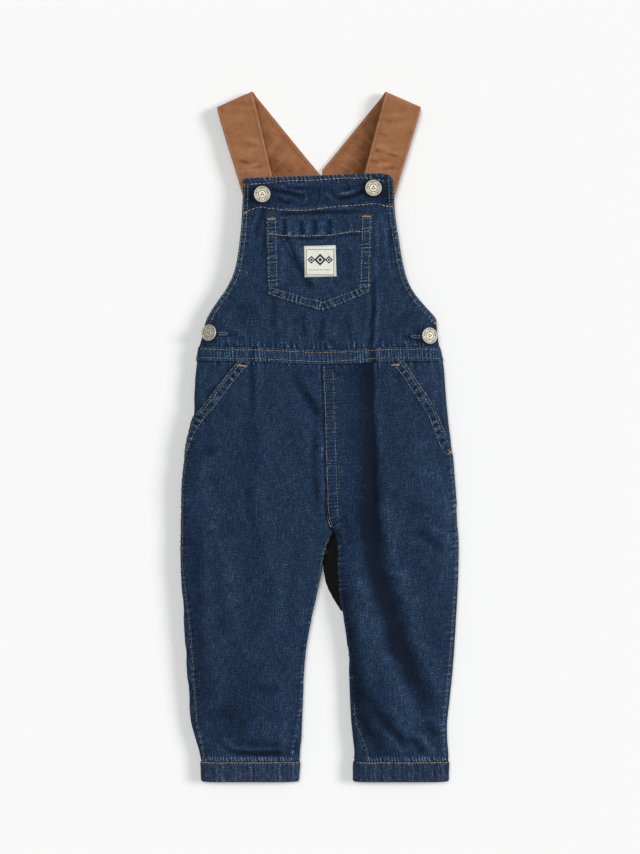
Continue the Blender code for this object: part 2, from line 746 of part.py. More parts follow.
def build_bib_patch():
    """The plain woven patch on the pocket."""
    turn = Matrix.Rotation(PATCH_TURN, 2)
    grid = []
    for v in spread(-0.5, 0.5, 4):
        line = []
        for u in spread(-0.5, 0.5, 4):
            place = PATCH_MIDDLE + turn @ Vector((u * PATCH_SIZE.x, v * PATCH_SIZE.y))
            line.append((place.x, place.y))
        grid.append(line)
    lay_on_front("bib_patch", grid, 2 * SEAM_GAP + POCKET_WALL, PATCH_WALL, "woven_patch")


def button_mesh(name):
    """A turned tack button, standing on its neck at its own origin."""
    mesh = bpy.data.meshes.new(name)
    work = bmesh.new()
    verts = [work.verts.new((r * MM, 0, z * MM)) for r, z in BUTTON_PROFILE]
    for a, b in zip(verts, verts[1:]):
        work.edges.new((a, b))
    work.to_mesh(mesh)
    work.free()
    return mesh


def build_button(button):
    """One tack button, square to the cloth it is fixed through, then leaned by its tilt."""
    made = add_object(button.name, button_mesh(button.name), "button_metal")
    screw = made.modifiers.new("turned", "SCREW")
    screw.steps = BUTTON_STEPS
    screw.render_steps = BUTTON_STEPS
    screw.use_merge_vertices = True
    screw.merge_threshold = 0.00001
    small = 1.5
    y = button.y - bib_tilt(button.y) * button.x
    here = bib_height(button.x, y)
    slope_x = (bib_height(button.x + small, y) - bib_height(button.x - small, y)) / (2 * small)
    slope_y = (bib_height(button.x, y + small) - bib_height(button.x, y - small)) / (2 * small)
    normal = Vector((-slope_x, -slope_y, 1)).normalized()
    lean = Matrix.Rotation(math.radians(button.tilt), 3, "Y")
    normal = lean @ normal
    made.location = (Vector((button.x, button.y, here)) + normal * button.lift) * MM
    made.rotation_euler = normal.to_track_quat("Z", "Y").to_euler()


# ---------------------------------------------------------------- the garment


def clear_scene():
    """Removes what the scene holds and makes the garment's own collection."""
    for old in list(bpy.data.objects):
        bpy.data.objects.remove(old)
    collection = bpy.data.collections.new("kids_dungarees")
    bpy.context.scene.collection.children.link(collection)
    return collection


def build():
    """Builds each piece as one named object."""
    build_back_bib()
    build_front_bib()
    build_waist_band()
    for side, table, mouth in (("right", RIGHT_LEG, RIGHT_MOUTH), ("left", LEFT_LEG, LEFT_MOUTH)):
        build_back_leg("back_leg_" + side, table)
        build_front_leg("front_leg_" + side, table, mouth)
        build_hip_panel("hip_panel_" + side, table, mouth)
        build_hem("hem_" + side, table)
    build_strap("strap_right", 1)
    build_strap("strap_left", -1)
    build_bib_pocket()
    build_bib_patch()
    for button in BUTTONS:
        build_button(button)


GARMENT = clear_scene()
build()
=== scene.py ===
"""Looks of a child's dungarees laid face up: denim, canvas straps, sewing, buttons and light.

Sizes are in millimetres in the garment's frame: X across, Y from the hems to the straps and Z up
from the surface it lies on. "Right" and "left" are the wearer's, so right is at -X.
"""

from __future__ import annotations

import json
import logging
import math
from dataclasses import dataclass, field
from enum import Enum
from typing import Callable, NamedTuple, Sequence, Union

import bmesh
import bpy
import numpy as np
from mathutils import Matrix, Vector
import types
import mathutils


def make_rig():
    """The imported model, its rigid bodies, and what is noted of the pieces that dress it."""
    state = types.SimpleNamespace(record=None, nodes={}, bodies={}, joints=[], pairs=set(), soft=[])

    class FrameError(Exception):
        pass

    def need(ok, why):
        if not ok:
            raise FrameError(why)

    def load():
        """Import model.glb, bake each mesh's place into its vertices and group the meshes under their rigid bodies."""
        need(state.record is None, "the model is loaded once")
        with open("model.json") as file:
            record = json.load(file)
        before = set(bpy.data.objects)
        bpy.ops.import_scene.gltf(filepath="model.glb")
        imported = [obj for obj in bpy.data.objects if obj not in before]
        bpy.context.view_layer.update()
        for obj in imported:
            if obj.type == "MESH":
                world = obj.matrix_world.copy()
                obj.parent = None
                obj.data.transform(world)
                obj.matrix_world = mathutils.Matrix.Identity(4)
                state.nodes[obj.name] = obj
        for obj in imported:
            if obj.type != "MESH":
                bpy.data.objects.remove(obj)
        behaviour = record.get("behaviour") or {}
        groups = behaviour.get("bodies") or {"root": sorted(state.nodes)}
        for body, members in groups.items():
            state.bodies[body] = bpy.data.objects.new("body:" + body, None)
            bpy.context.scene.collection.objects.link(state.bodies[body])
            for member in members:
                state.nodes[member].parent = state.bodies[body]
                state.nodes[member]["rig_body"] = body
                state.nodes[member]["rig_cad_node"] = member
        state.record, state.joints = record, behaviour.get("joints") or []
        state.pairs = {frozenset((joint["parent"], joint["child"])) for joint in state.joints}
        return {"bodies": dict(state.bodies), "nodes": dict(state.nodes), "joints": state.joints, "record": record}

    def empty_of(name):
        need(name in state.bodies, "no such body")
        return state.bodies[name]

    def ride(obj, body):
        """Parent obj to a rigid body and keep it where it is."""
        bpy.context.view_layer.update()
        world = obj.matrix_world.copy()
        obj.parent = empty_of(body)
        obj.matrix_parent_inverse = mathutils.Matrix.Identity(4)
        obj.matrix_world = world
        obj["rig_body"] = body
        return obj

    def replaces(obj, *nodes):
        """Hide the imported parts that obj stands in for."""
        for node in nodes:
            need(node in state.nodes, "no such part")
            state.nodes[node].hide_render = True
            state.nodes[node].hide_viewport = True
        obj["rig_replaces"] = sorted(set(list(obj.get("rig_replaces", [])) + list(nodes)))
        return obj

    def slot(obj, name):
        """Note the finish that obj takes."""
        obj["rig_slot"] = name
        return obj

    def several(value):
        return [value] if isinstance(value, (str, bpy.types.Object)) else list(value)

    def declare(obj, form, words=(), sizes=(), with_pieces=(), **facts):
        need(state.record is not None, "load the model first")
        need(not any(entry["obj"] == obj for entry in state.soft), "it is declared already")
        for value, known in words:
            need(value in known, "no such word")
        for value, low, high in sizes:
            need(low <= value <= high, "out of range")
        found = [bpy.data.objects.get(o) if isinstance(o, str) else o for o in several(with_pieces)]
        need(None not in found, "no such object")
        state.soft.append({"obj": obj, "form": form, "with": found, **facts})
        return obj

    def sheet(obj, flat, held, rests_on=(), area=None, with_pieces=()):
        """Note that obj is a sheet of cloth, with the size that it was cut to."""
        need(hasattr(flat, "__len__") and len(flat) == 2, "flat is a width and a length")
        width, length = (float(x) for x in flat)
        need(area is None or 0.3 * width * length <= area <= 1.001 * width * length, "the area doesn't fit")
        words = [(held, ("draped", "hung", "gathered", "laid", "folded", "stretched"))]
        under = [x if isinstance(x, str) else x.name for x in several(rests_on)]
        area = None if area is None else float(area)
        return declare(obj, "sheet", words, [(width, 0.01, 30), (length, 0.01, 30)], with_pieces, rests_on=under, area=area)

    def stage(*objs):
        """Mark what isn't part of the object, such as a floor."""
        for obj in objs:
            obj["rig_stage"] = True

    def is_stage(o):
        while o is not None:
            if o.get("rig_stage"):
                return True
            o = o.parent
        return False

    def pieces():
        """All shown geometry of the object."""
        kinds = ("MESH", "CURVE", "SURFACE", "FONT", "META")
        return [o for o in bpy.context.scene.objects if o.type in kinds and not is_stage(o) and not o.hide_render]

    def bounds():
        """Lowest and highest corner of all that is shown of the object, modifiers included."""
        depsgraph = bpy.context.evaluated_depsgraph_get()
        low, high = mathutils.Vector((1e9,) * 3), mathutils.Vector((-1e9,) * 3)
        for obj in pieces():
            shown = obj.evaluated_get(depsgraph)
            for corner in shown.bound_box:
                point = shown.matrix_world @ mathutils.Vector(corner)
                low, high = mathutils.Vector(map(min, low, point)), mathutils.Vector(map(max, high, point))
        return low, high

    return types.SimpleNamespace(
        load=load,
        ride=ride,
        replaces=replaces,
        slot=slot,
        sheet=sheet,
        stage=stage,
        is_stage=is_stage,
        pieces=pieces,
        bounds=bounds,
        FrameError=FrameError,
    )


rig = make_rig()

LOG = logging.getLogger("dungarees")
MM = 0.001
SIZE_FILE = "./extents.json"
Array = np.ndarray
Pair = tuple[Array, Array]
Relief = Callable[[Array, Array], Pair]
Height = Callable[[Array, Array], Array]
Surface = Callable[[Array, Array, float], Pair]
Piece = bpy.types.Object
Material = bpy.types.Material
Node = bpy.types.Node
Socket = bpy.types.NodeSocket

# Walls, gaps and places along the garment, and how far in its laid tubes turn.

DENIM = 1.5
CANVAS = 2.0
HEM_WALL = 2.2
POCKET_WALL = 1.3
PATCH_WALL = 1.0
SEAM_GAP = 0.3
SINK_RAMP = 6.0
TOP_SPREAD = 2.2
UNDER_SPREAD = 1.9

WAIST_TOP = 86.0
WAIST_BOTTOM = 71.7
BACK_WAIST = 79.0
CROTCH = -91.0
HEM_TOP = -308.3
HEM_BOTTOM = -327.75
HEM_RAISE = 0.8
BAND_RAISE = 0.7
FLY_WIDTH = 10.5
FLY_RAISE = 0.6
SAG_DEPTH = 3.3
SAG_X, SAG_Y = 2.4, 78
SAG_WIDE, SAG_TALL = 52, 26


def table(kind: type, *rows: tuple) -> tuple:
    """Rows of a table, each as the given kind of row."""
    return tuple(kind(*row) for row in rows)


class LegRow(NamedTuple):
    """One section of a leg, in millimetres."""

    y: float
    out: float
    inner: float
    crown: float
    seam: float
    side_in: float
    inseam_in: float


class BibRow(NamedTuple):
    """One section of the front or the back above the waist."""

    y: float
    left: float
    right: float
    crown: float
    seam: float
    hug: float


class MouthRow(NamedTuple):
    """A point of a slanted pocket's mouth, as the distance in from the silhouette."""

    y: float
    inset: float


class Fold(NamedTuple):
    """A large soft fold along a straight line in plan."""

    x0: float
    y0: float
    x1: float
    y1: float
    depth: float
    width: float


RIGHT_LEG_ROWS = table(
    LegRow, (80, -115.8, 2.3, 18.7, 9, 0, 0), (72, -116.9, 2.4, 19, 9, 0, 0),
    (64, -117.7, 2.8, 19.6, 9.2, 0, 0), (45, -119, 3.6, 21, 9.5, 0, 0), (22, -119.8, 4.3, 22, 9.5, 0, 0),
    (5, -124.3, 4.9, 23, 9.5, 0, 0), (-12, -127.5, 5.3, 23, 9.5, 0, 0), (-41, -130.8, 6.2, 23, 9.5, 0, 0),
    (-74, -131.8, 7.4, 21.5, 9, 0, 0), (-82, -132, 9, 21, 9, 0, 0), (-88, -132.1, 11.8, 20.7, 9, 0, 0),
    (-91, -132.2, 13, 20.5, 9, 0, 0), (-97, -132.3, 10.2, 20.3, 9, 0, 0), (-108, -132.5, 5.8, 20, 9, 0, 0),
    (-131, -131.9, 1.8, 19.5, 9, 0.6, 0), (-155, -130.6, -3.3, 19, 8.5, 2.4, 0),
    (-183, -128.8, -9.2, 18.5, 8.5, 4, 0), (-217, -126.7, -13.9, 17.5, 8, 4.5, 0),
    (-250, -124.5, -15.5, 16.5, 7.5, 4.5, 0.5), (-271, -122.4, -16.5, 15.5, 7, 4, 2.5),
    (-286, -118.5, -17, 15, 7, 3.5, 5), (-299, -114.6, -18, 14.5, 7, 2, 6.5),
    (-308.3, -113, -18.7, 14, 7, 1, 7), (-328, -112, -20.3, 13.5, 6.5, 1, 7)
)

LEFT_LEG_ROWS = table(
    LegRow, (80, 115.6, 2.3, 18.7, 9, 0, 0), (72, 117.4, 2.4, 19, 9, 0, 0),
    (64, 118.5, 2.8, 19.6, 9.2, 0.6, 0), (45, 119.8, 3.6, 21, 9.5, 2.4, 0), (22, 121.8, 4.3, 22, 9.5, 2.4, 0),
    (5, 123.7, 4.9, 23, 9.5, 2, 0), (-12, 126.4, 5.3, 23, 9.5, 1.2, 0), (-41, 128.9, 6.2, 23, 9.5, 1, 0),
    (-74, 131.5, 7.4, 21.5, 9, 1, 0), (-82, 131.8, 9, 21, 9, 1, 0), (-88, 132, 11.8, 20.7, 9, 1, 0),
    (-91, 132.1, 13.3, 20.5, 9, 1, 0), (-97, 132.3, 15.8, 20.3, 9, 1, 0), (-108, 132.5, 17, 20, 9, 1, 0),
    (-131, 132, 17.2, 19.5, 9, 1.2, 0), (-155, 131, 19, 19, 8.5, 1.6, 0), (-183, 129.4, 24, 18.5, 8.5, 2, 0),
    (-217, 127.1, 27.5, 17.5, 8, 2.2, 0), (-250, 123.9, 28.9, 16.5, 7.5, 2.2, 1),
    (-271, 121.6, 30.1, 15.5, 7, 2.2, 3), (-286, 121.6, 31.6, 15, 7, 2.2, 6.5),
    (-299, 122.6, 33, 14.5, 7, 2.2, 10), (-308.3, 123, 32.6, 14, 7, 2.2, 12),
    (-328, 122.6, 32.6, 13.5, 6.5, 2.2, 12)
)

FRONT_BIB_ROWS = table(
    BibRow, (64, -117.7, 118.5, 19.6, 9.2, 1), (72, -116.9, 117.4, 19, 9, 1), (80, -115.8, 115.6, 18.7, 9, 1),
    (86, -114.7, 114.4, 18.5, 9, 1), (97, -111.6, 112.6, 18, 9, 1), (108, -108.8, 111.7, 17.5, 9, 0.96),
    (113, -107.3, 110.6, 17.3, 9, 0.9), (120, -103, 104.2, 17, 9, 0.75), (131, -95.5, 94.8, 16.8, 9, 0.55),
    (142, -88.3, 87.4, 16.5, 9, 0.4), (154, -82.3, 82.2, 16.3, 9, 0.3), (165, -79.2, 79.4, 16, 9, 0.25),
    (188, -75.9, 75.3, 15.8, 9, 0.2), (211, -74, 71.9, 15.5, 9, 0.2), (235, -73, 70.9, 15.2, 9, 0.2),
    (241, -72.9, 70.2, 15, 9, 0.2), (244.5, -72.6, 68.2, 15, 9, 0.2), (246.6, -72.2, 65.2, 15, 9, 0.2),
    (248.3, -71.2, 59, 15, 9, 0.2)
)

BACK_BIB_ROWS = table(
    BibRow, (72, -116.9, 117.4, 0, 9, 1), (80, -115.8, 115.6, 0, 9, 1), (86, -114.7, 114.4, 0, 9, 1),
    (97, -111.4, 112.2, 0, 9, 1), (108, -108.6, 111.2, 0, 9, 0.96), (114, -105, 107.6, 0, 9, 0.8),
    (125, -96, 97.5, 0, 9, 0.4), (140, -84, 86, 0, 9, 0.12), (159, -68, 71, 0, 9, 0),
    (178, -57.5, 61, 0, 9, 0), (201, -48.5, 52, 0, 9, 0), (220, -43.5, 47, 0, 9, 0), (238, -40, 43.5, 0, 9, 0)
)

RIGHT_MOUTH_ROWS = table(MouthRow, (80, 45), (72, 39), (45, 20), (31, 9.5), (20, 0.3))
LEFT_MOUTH_ROWS = table(MouthRow, (80, 41), (72, 37), (51, 25), (33, 14.5), (17, 8), (-10, 1.2))

FOLDS = table(
    Fold, (51, 66, 52, -60, -2.2, 7), (42, -40, 66, -150, -3.2, 15), (66, -150, 98, -245, -3.6, 13),
    (30, -130, 62, -250, 1.6, 15), (92, -10, 102, -120, 1.2, 22), (-24, 56, -6, 20, -2.4, 8),
    (-62, -20, -50, -160, 1.4, 24), (-96, -60, -92, -230, -1.8, 16), (-75, -292, -35, -300, -1.6, 8),
    (70, -290, 108, -300, -2.0, 8), (14, -60, 34, -100, -2.0, 7), (-8, -75, -34, -120, -1.6, 9),
    (-60, 150, -80, 104, -0.8, 12), (66, 150, 84, 108, -0.8, 12)
)


# Curves and noise.


def smooth(value: Array | float, start: float, end: float) -> Array:
    """Eases from 0 at start to 1 at end."""
    t = np.clip((np.asarray(value, float) - start) / (end - start), 0, 1)
    return t * t * (3 - 2 * t)


def bell(distance: Array, width: float) -> Array:
    """A soft bump, 1 at distance 0."""
    return np.exp(-((np.asarray(distance) / width) ** 2))


def unit(vectors: Array) -> Array:
    """The vectors at a length of 1."""
    return vectors / np.maximum(np.linalg.norm(vectors, axis=-1, keepdims=True), 1e-9)


def distances(points: Array) -> Array:
    """The distance of each point in a row from the row's first."""
    return np.concatenate([[0], np.cumsum(np.linalg.norm(np.diff(points, axis=0), axis=1))])


def wander(run: Array, scale: float, seed: int) -> Array:
    """Smooth uneven values from -1 to 1 along a line.

    Args:
        run: Distance along the line.
        scale: Size of the slowest waves, in millimetres.
        seed: Which pattern.

    Returns:
        One value for each distance.
    """
    rng = np.random.default_rng(seed)
    total = np.zeros_like(np.asarray(run, float))
    for octave in range(4):
        rate = 2 * math.pi * (1 + 0.77 * octave) / scale
        total += np.sin(run * rate + rng.uniform(0, 2 * math.pi)) / (1 + 0.6 * octave)
    return total / 2.1


def crumple(x: Array, y: Array, scale: float, seed: int) -> Array:
    """Soft uneven bumps over the plan.

    Args:
        x: Places across.
        y: Places along.
        scale: Their size, in millimetres.
        seed: Which pattern.

    Returns:
        Heights from about -1 to 1.
    """
    rng = np.random.default_rng(seed)
    total = np.zeros_like(np.asarray(x, float))
    for _ in range(9):
        turn = rng.uniform(0, math.pi)
        rate = 2 * math.pi / (scale * rng.uniform(0.6, 1.8))
        bend = 0.8 * np.sin((x * math.sin(turn) - y * math.cos(turn)) * rate * 0.43)
        wave = (x * math.cos(turn) + y * math.sin(turn)) * rate
        total += np.sin(wave + bend + rng.uniform(0, 2 * math.pi))
    return total / 4.5


class Track:
    """Smooth curves through a table's columns, read at any y."""

    def __init__(self, rows: Sequence[NamedTuple]) -> None:
        """Keeps the rows' columns as arrays, from the lowest y to the highest.

        Args:
            rows: The table's rows.
        """
        ordered = sorted(rows, key=lambda row: row.y)
        self.y = np.array([row.y for row in ordered], float)
        names = ordered[0]._fields[1:]
        self.columns = {n: np.array([getattr(r, n) for r in ordered], float) for n in names}

    def __call__(self, name: str, y: Array | float) -> Array | float:
        """Reads a column, on the same curve that the solids follow.

        Args:
            name: The column.
            y: Where to read it.

        Returns:
            The column's values there.
        """
        column = self.columns[name]
        y = np.clip(np.asarray(y, float), self.y[0], self.y[-1])
        low = np.clip(np.searchsorted(self.y, y, side="right") - 1, 0, len(self.y) - 2)
        before, high = np.maximum(low - 1, 0), low + 1
        after = np.minimum(low + 2, len(self.y) - 1)
        span = self.y[high] - self.y[low]
        t = (y - self.y[low]) / span
        a, b = column[low], column[high]
        slope_a = (b - column[before]) / (self.y[high] - self.y[before]) * span
        slope_b = (column[after] - a) / (self.y[after] - self.y[low]) * span
        return (
            (2 * t**3 - 3 * t**2 + 1) * a + (t**3 - 2 * t**2 + t) * slope_a + (3 * t**2 - 2 * t**3) * b
            + (t**3 - t**2) * slope_b
        )


class Line:
    """A smooth line in plan that a seam or a crease follows."""

    STEP = 2.0

    def __init__(self, points: Sequence[tuple], toward: tuple | None = None) -> None:
        """Runs a smooth curve through the points.

        Args:
            points: Points in plan.
            toward: A point on the side where distances are above 0.
        """
        given = np.array(points, float).reshape(-1, 2)
        chord = distances(given)
        count = max(int(chord[-1] / self.STEP), 1) + 1
        run = np.linspace(0, chord[-1], count)
        if len(given) > 2:
            slope = np.gradient(given, chord, axis=0)
            low = np.clip(np.searchsorted(chord, run, side="right") - 1, 0, len(chord) - 2)
            span = (chord[low + 1] - chord[low])[:, None]
            t = (run - chord[low])[:, None] / span
            self.points = (
                (2 * t**3 - 3 * t**2 + 1) * given[low] + (t**3 - 2 * t**2 + t) * slope[low] * span
                + (3 * t**2 - 2 * t**3) * given[low + 1] + (t**3 - t**2) * slope[low + 1] * span
            )
        else:
            self.points = given[0] + (given[-1] - given[0]) * (run / chord[-1])[:, None]
        self._measure()
        if toward is not None:
            distance, _ = self.locate(np.array([toward[0]]), np.array([toward[1]]), 1e6)
            if distance[0] < 0:
                self.points = self.points[::-1].copy()
                self._measure()

    def _measure(self) -> None:
        """Works out the segments and their distance along the line."""
        self.steps = np.diff(self.points, axis=0)
        self.runs = distances(self.points)
        self.length = float(self.runs[-1])

    def locate(self, x: Array, y: Array, reach: float) -> Pair:
        """Where points lie relative to the line.

        Args:
            x: Points in plan.
            y: Points in plan.
            reach: How far from the line anything matters.

        Returns:
            The signed distance from the line, and the distance along it. Points out of reach get a
            distance of 1e4.
        """
        shape = np.shape(x)
        px, py = np.ravel(x), np.ravel(y)
        distance, run = np.full(px.size, 1e4), np.zeros(px.size)
        low, high = self.points.min(0) - reach, self.points.max(0) + reach
        near = np.flatnonzero((px > low[0]) & (px < high[0]) & (py > low[1]) & (py < high[1]))
        squares = (self.steps**2).sum(1)
        for part in np.array_split(near, max(near.size // 20000, 1)):
            if not part.size:
                continue
            gx = px[part, None] - self.points[None, :-1, 0]
            gy = py[part, None] - self.points[None, :-1, 1]
            t = np.clip((gx * self.steps[:, 0] + gy * self.steps[:, 1]) / squares, 0, 1)
            gap = np.hypot(gx - t * self.steps[:, 0], gy - t * self.steps[:, 1])
            best = gap.argmin(1)
            rows = np.arange(part.size)
            turn = self.steps[best, 0] * gy[rows, best] - self.steps[best, 1] * gx[rows, best]
            distance[part] = gap[rows, best] * np.where(turn >= 0, 1, -1)
            sizes = np.sqrt(squares[best])
            run[part] = self.runs[best] + t[rows, best] * sizes
        return distance.reshape(shape), run.reshape(shape)

    def at(self, run: Array, offset: float = 0.0) -> Pair:
        """Finds plan points along the line.

        Args:
            run: Their distance along it.
            offset: How far off they are, to its positive side.

        Returns:
            Their x and y.
        """
        run = np.clip(run, 0, self.length)
        index = np.clip(np.searchsorted(self.runs, run, side="right") - 1, 0, len(self.steps) - 1)
        size = np.linalg.norm(self.steps[index], axis=-1)
        t = ((run - self.runs[index]) / size)[..., None]
        place = self.points[index] + self.steps[index] * t
        here = np.clip(run - 3, 0, self.length), np.clip(run + 3, 0, self.length)
        ends = [np.stack([np.interp(h, self.runs, self.points[:, k]) for k in (0, 1)], -1) for h in here]
        along = unit(ends[1] - ends[0])
        return place[..., 0] - along[..., 1] * offset, place[..., 1] + along[..., 0] * offset


# Shader building.


class Value:
    """A number in a material. Arithmetic on it adds Math nodes."""

    def __init__(self, graph: Graph, socket: Socket) -> None:
        """Wraps an output socket of the graph."""
        self.graph, self.socket = graph, socket

    def _math(self, operation: str, *terms: Number) -> Value:
        """Adds a Math node.

        Args:
            operation: What it does.
            terms: Its inputs, in order.

        Returns:
            Its result.
        """
        node = self.graph.node("ShaderNodeMath", {"operation": operation})
        for place, term in enumerate(terms):
            self.graph.feed(node.inputs[place], term)
        return Value(self.graph, node.outputs[0])

    def __add__(self, other: Number) -> Value:
        """self + other."""
        return self._math("ADD", self, other)

    __radd__ = __add__

    def __sub__(self, other: Number) -> Value:
        """self - other."""
        return self._math("SUBTRACT", self, other)

    def __rsub__(self, other: Number) -> Value:
        """other - self."""
        return self._math("SUBTRACT", other, self)

    def __mul__(self, other: Number) -> Value:
        """self * other."""
        return self._math("MULTIPLY", self, other)

    __rmul__ = __mul__

    def sine(self) -> Value:
        """Its sine, for a value in radians."""
        return self._math("SINE", self)

    def absolute(self) -> Value:
        """Its size without its sign."""
        return self._math("ABSOLUTE", self)

    def most(self, other: Number) -> Value:
        """The larger of the two."""
        return self._math("MAXIMUM", self, other)

    def step(self, start: float, end: float) -> Value:
        """Eases the value from 0 to 1.

        Args:
            start: Where it is 0.
            end: Where it is 1.

        Returns:
            The eased value.
        """
        settings = {"interpolation_type": "SMOOTHSTEP"}
        low, high, flip = (start, end, False) if start < end else (end, start, True)
        sockets = {"Value": self, "From Min": low, "From Max": high}
        node = self.graph.node("ShaderNodeMapRange", settings, sockets)
        made = Value(self.graph, node.outputs["Result"])
        return 1 - made if flip else made


Number = Union[Value, float]


class Graph:
    """A material and its nodes."""

    def __init__(self, name: str) -> None:
        """Makes an empty material with an output.

        Args:
            name: The material's name.
        """
        self.material = bpy.data.materials.new(name)
        self.material.use_nodes = True
        self.tree = self.material.node_tree
        self.tree.nodes.clear()
        self.output = self.node("ShaderNodeOutputMaterial")

    def node(self, kind: str, settings: dict | None = None, sockets: dict | None = None) -> Node:
        """Adds a node.

        Args:
            kind: The node's type.
            settings: Its own settings. "stops" gives a colour ramp's places and colours.
            sockets: Values or links of its inputs, by name or number.

        Returns:
            The node.
        """
        made = self.tree.nodes.new(kind)
        for key, value in (settings or {}).items():
            if key == "stops":
                ramp = made.color_ramp.elements
                while len(ramp) < len(value):
                    ramp.new(0.5)
                for element, (place, colour) in zip(ramp, value):
                    element.position = place
                    element.color = (*colour, 1)
            else:
                setattr(made, key, value)
        for key, value in (sockets or {}).items():
            self.feed(made.inputs[key], value)
        return made

    def feed(self, socket: Socket, value: object) -> None:
        """Links or sets one input.

        Args:
            socket: The input.
            value: A link, a number, a colour or a vector.
        """
        if isinstance(value, Value):
            self.tree.links.new(value.socket, socket)
        elif isinstance(value, Socket):
            self.tree.links.new(value, socket)
        elif isinstance(value, tuple) and len(value) == 3 and socket.type == "RGBA":
            socket.default_value = (*value, 1)
        else:
            socket.default_value = value

    def attribute(self, name: str) -> Node:
        """A node that reads a named mesh attribute."""
        return self.node("ShaderNodeAttribute", {"attribute_name": name})

    def number(self, name: str) -> Value:
        """A named number of the mesh."""
        return Value(self, self.attribute(name).outputs["Fac"])

    def cloth_place(self) -> tuple[Socket, Value, Value]:
        """Reads the place on the flat cloth, in millimetres.

        Returns:
            The place as a vector, and its parts across and along.
        """
        vector = self.attribute("cloth").outputs["Vector"]
        split = self.node("ShaderNodeSeparateXYZ", None, {"Vector": vector})
        return vector, Value(self, split.outputs["X"]), Value(self, split.outputs["Y"])

    def noise(self, vector: Socket, across: float, along: float, detail: float = 2.0) -> Value:
        """Adds noise centred on 0.

        Args:
            vector: The place.
            across: Cells a millimetre across the cloth.
            along: Cells a millimetre along it.
            detail: How many finer layers it has.

        Returns:
            The noise.
        """
        settings = {"operation": "MULTIPLY"}
        sockets = {0: vector, 1: (across, along, 1.0)}
        scaled = self.node("ShaderNodeVectorMath", settings, sockets).outputs[0]
        sockets = {"Vector": scaled, "Scale": 1.0, "Detail": detail, "Roughness": 0.6}
        return Value(self, self.node("ShaderNodeTexNoise", None, sockets).outputs[0]) - 0.5

    def mix(self, factor: Number, first: object, second: object) -> Socket:
        """A colour between two colours."""
        made = self.node("ShaderNodeMix", {"data_type": "RGBA"}, {0: factor, 6: first, 7: second})
        return made.outputs[2]

    def ramp(self, factor: Value, *stops: tuple) -> Socket:
        """A colour from a ramp of (place, colour) stops."""
        made = self.node("ShaderNodeValToRGB", {"stops": stops}, {"Fac": factor})
        return made.outputs["Color"]

    def bump(self, height: Value, depth_mm: float) -> Socket:
        """A normal from a height of 0 to 1 that stands for depth_mm."""
        sockets = {"Height": height, "Strength": 1.0, "Distance": depth_mm * MM}
        return self.node("ShaderNodeBump", None, sockets).outputs["Normal"]

    def surface(self, **sockets: object) -> Material:
        """Finishes the material with a Principled shader.

        Args:
            sockets: Its inputs, with underscores for spaces.

        Returns:
            The material.
        """
        named = {key.replace("_", " "): value for key, value in sockets.items()}
        shader = self.node("ShaderNodeBsdfPrincipled", None, named)
        self.tree.links.new(shader.outputs["BSDF"], self.output.inputs["Surface"])
        return self.material


# Finishes.


@dataclass(frozen=True)
class Denim:
    """Washed indigo twill, paler where it was rubbed, with painted shade in its seams, creases and hollows and painted
    light on its ridges.
    """

    name: str
    shade: float = 0.0
    deep: tuple = (0.0018, 0.0058, 0.0175)
    middle: tuple = (0.009, 0.0265, 0.065)
    pale: tuple = (0.034, 0.071, 0.135)
    bare: tuple = (0.18, 0.26, 0.36)
    wale_mm: float = 1.25

    def build(self) -> Material:
        """Makes the material. The cloth's tone number, which holds painted shading, shifts it between deep and bare.

        Returns:
            The material.
        """
        g = Graph(self.name)
        place, across, along = g.cloth_place()
        yarn = g.noise(place, 0.95, 0.11, 1)
        slub = g.noise(place, 0.75, 0.03, 0).step(0.14, 0.3)
        weft = g.noise(place, 0.14, 1.0, 0)
        grain = g.noise(place, 0.92, 0.8, 1)
        fleck = g.noise(place, 1.25, 1.0, 0).step(0.17, 0.33)
        cloud = g.noise(place, 0.035, 0.022, 2)
        wale = ((across + along * 1.15) * (2 * math.pi / self.wale_mm) + yarn * 5).sine()
        tone = yarn * 0.6 + weft * 0.24 + grain * 1.35 + cloud * 0.1
        tone = tone + slub * 0.1 + fleck * 0.13 + wale * 0.04
        tone = tone + g.number("fade") * 0.55 + (0.372 + self.shade)
        stops = (0.0, self.deep), (0.42, self.middle), (0.72, self.pale), (1.0, self.bare)
        relief = wale * 0.35 + yarn * 0.9 + weft * 0.7 + grain * 0.9
        return g.surface(
            Base_Color=g.ramp(tone, *stops), Roughness=0.86, Specular_IOR_Level=0.18, Sheen_Weight=0.02,
            Sheen_Roughness=0.45, Normal=g.bump(relief, 0.18)
        )


@dataclass(frozen=True)
class Canvas:
    """Firm tan canvas with a plain weave that shows up close."""

    name: str
    deep: tuple = (0.13, 0.043, 0.012)
    middle: tuple = (0.325, 0.136, 0.057)
    pale: tuple = (0.46, 0.225, 0.11)
    yarn_mm: float = 0.75

    def build(self) -> Material:
        """Makes the material. The cloth's tone number, which holds painted shading, makes it paler or deeper.

        Returns:
            The material.
        """
        g = Graph(self.name)
        place, across, along = g.cloth_place()
        turn = 2 * math.pi / self.yarn_mm
        weave = (across * turn).sine() * (along * turn).sine()
        streak = g.noise(place, 0.9, 0.07, 3)
        cross = g.noise(place, 0.1, 0.9, 2)
        dash = g.noise(place, 0.11, 0.36, 1).step(0.1, 0.28)
        cloud = g.noise(place, 0.05, 0.04, 2)
        tone = streak * 0.35 + cross * 0.3 + cloud * 0.6 + weave * 0.04 - dash * 0.22
        tone = tone + g.number("fade") * 0.5 + 0.55
        stops = (0.0, self.deep), (0.5, self.middle), (1.0, self.pale)
        relief = weave * 0.5 + streak * 0.6 + cross * 0.5
        return g.surface(
            Base_Color=g.ramp(tone, *stops), Roughness=0.82, Specular_IOR_Level=0.25, Sheen_Weight=0.1,
            Sheen_Roughness=0.4, Normal=g.bump(relief, 0.16)
        )


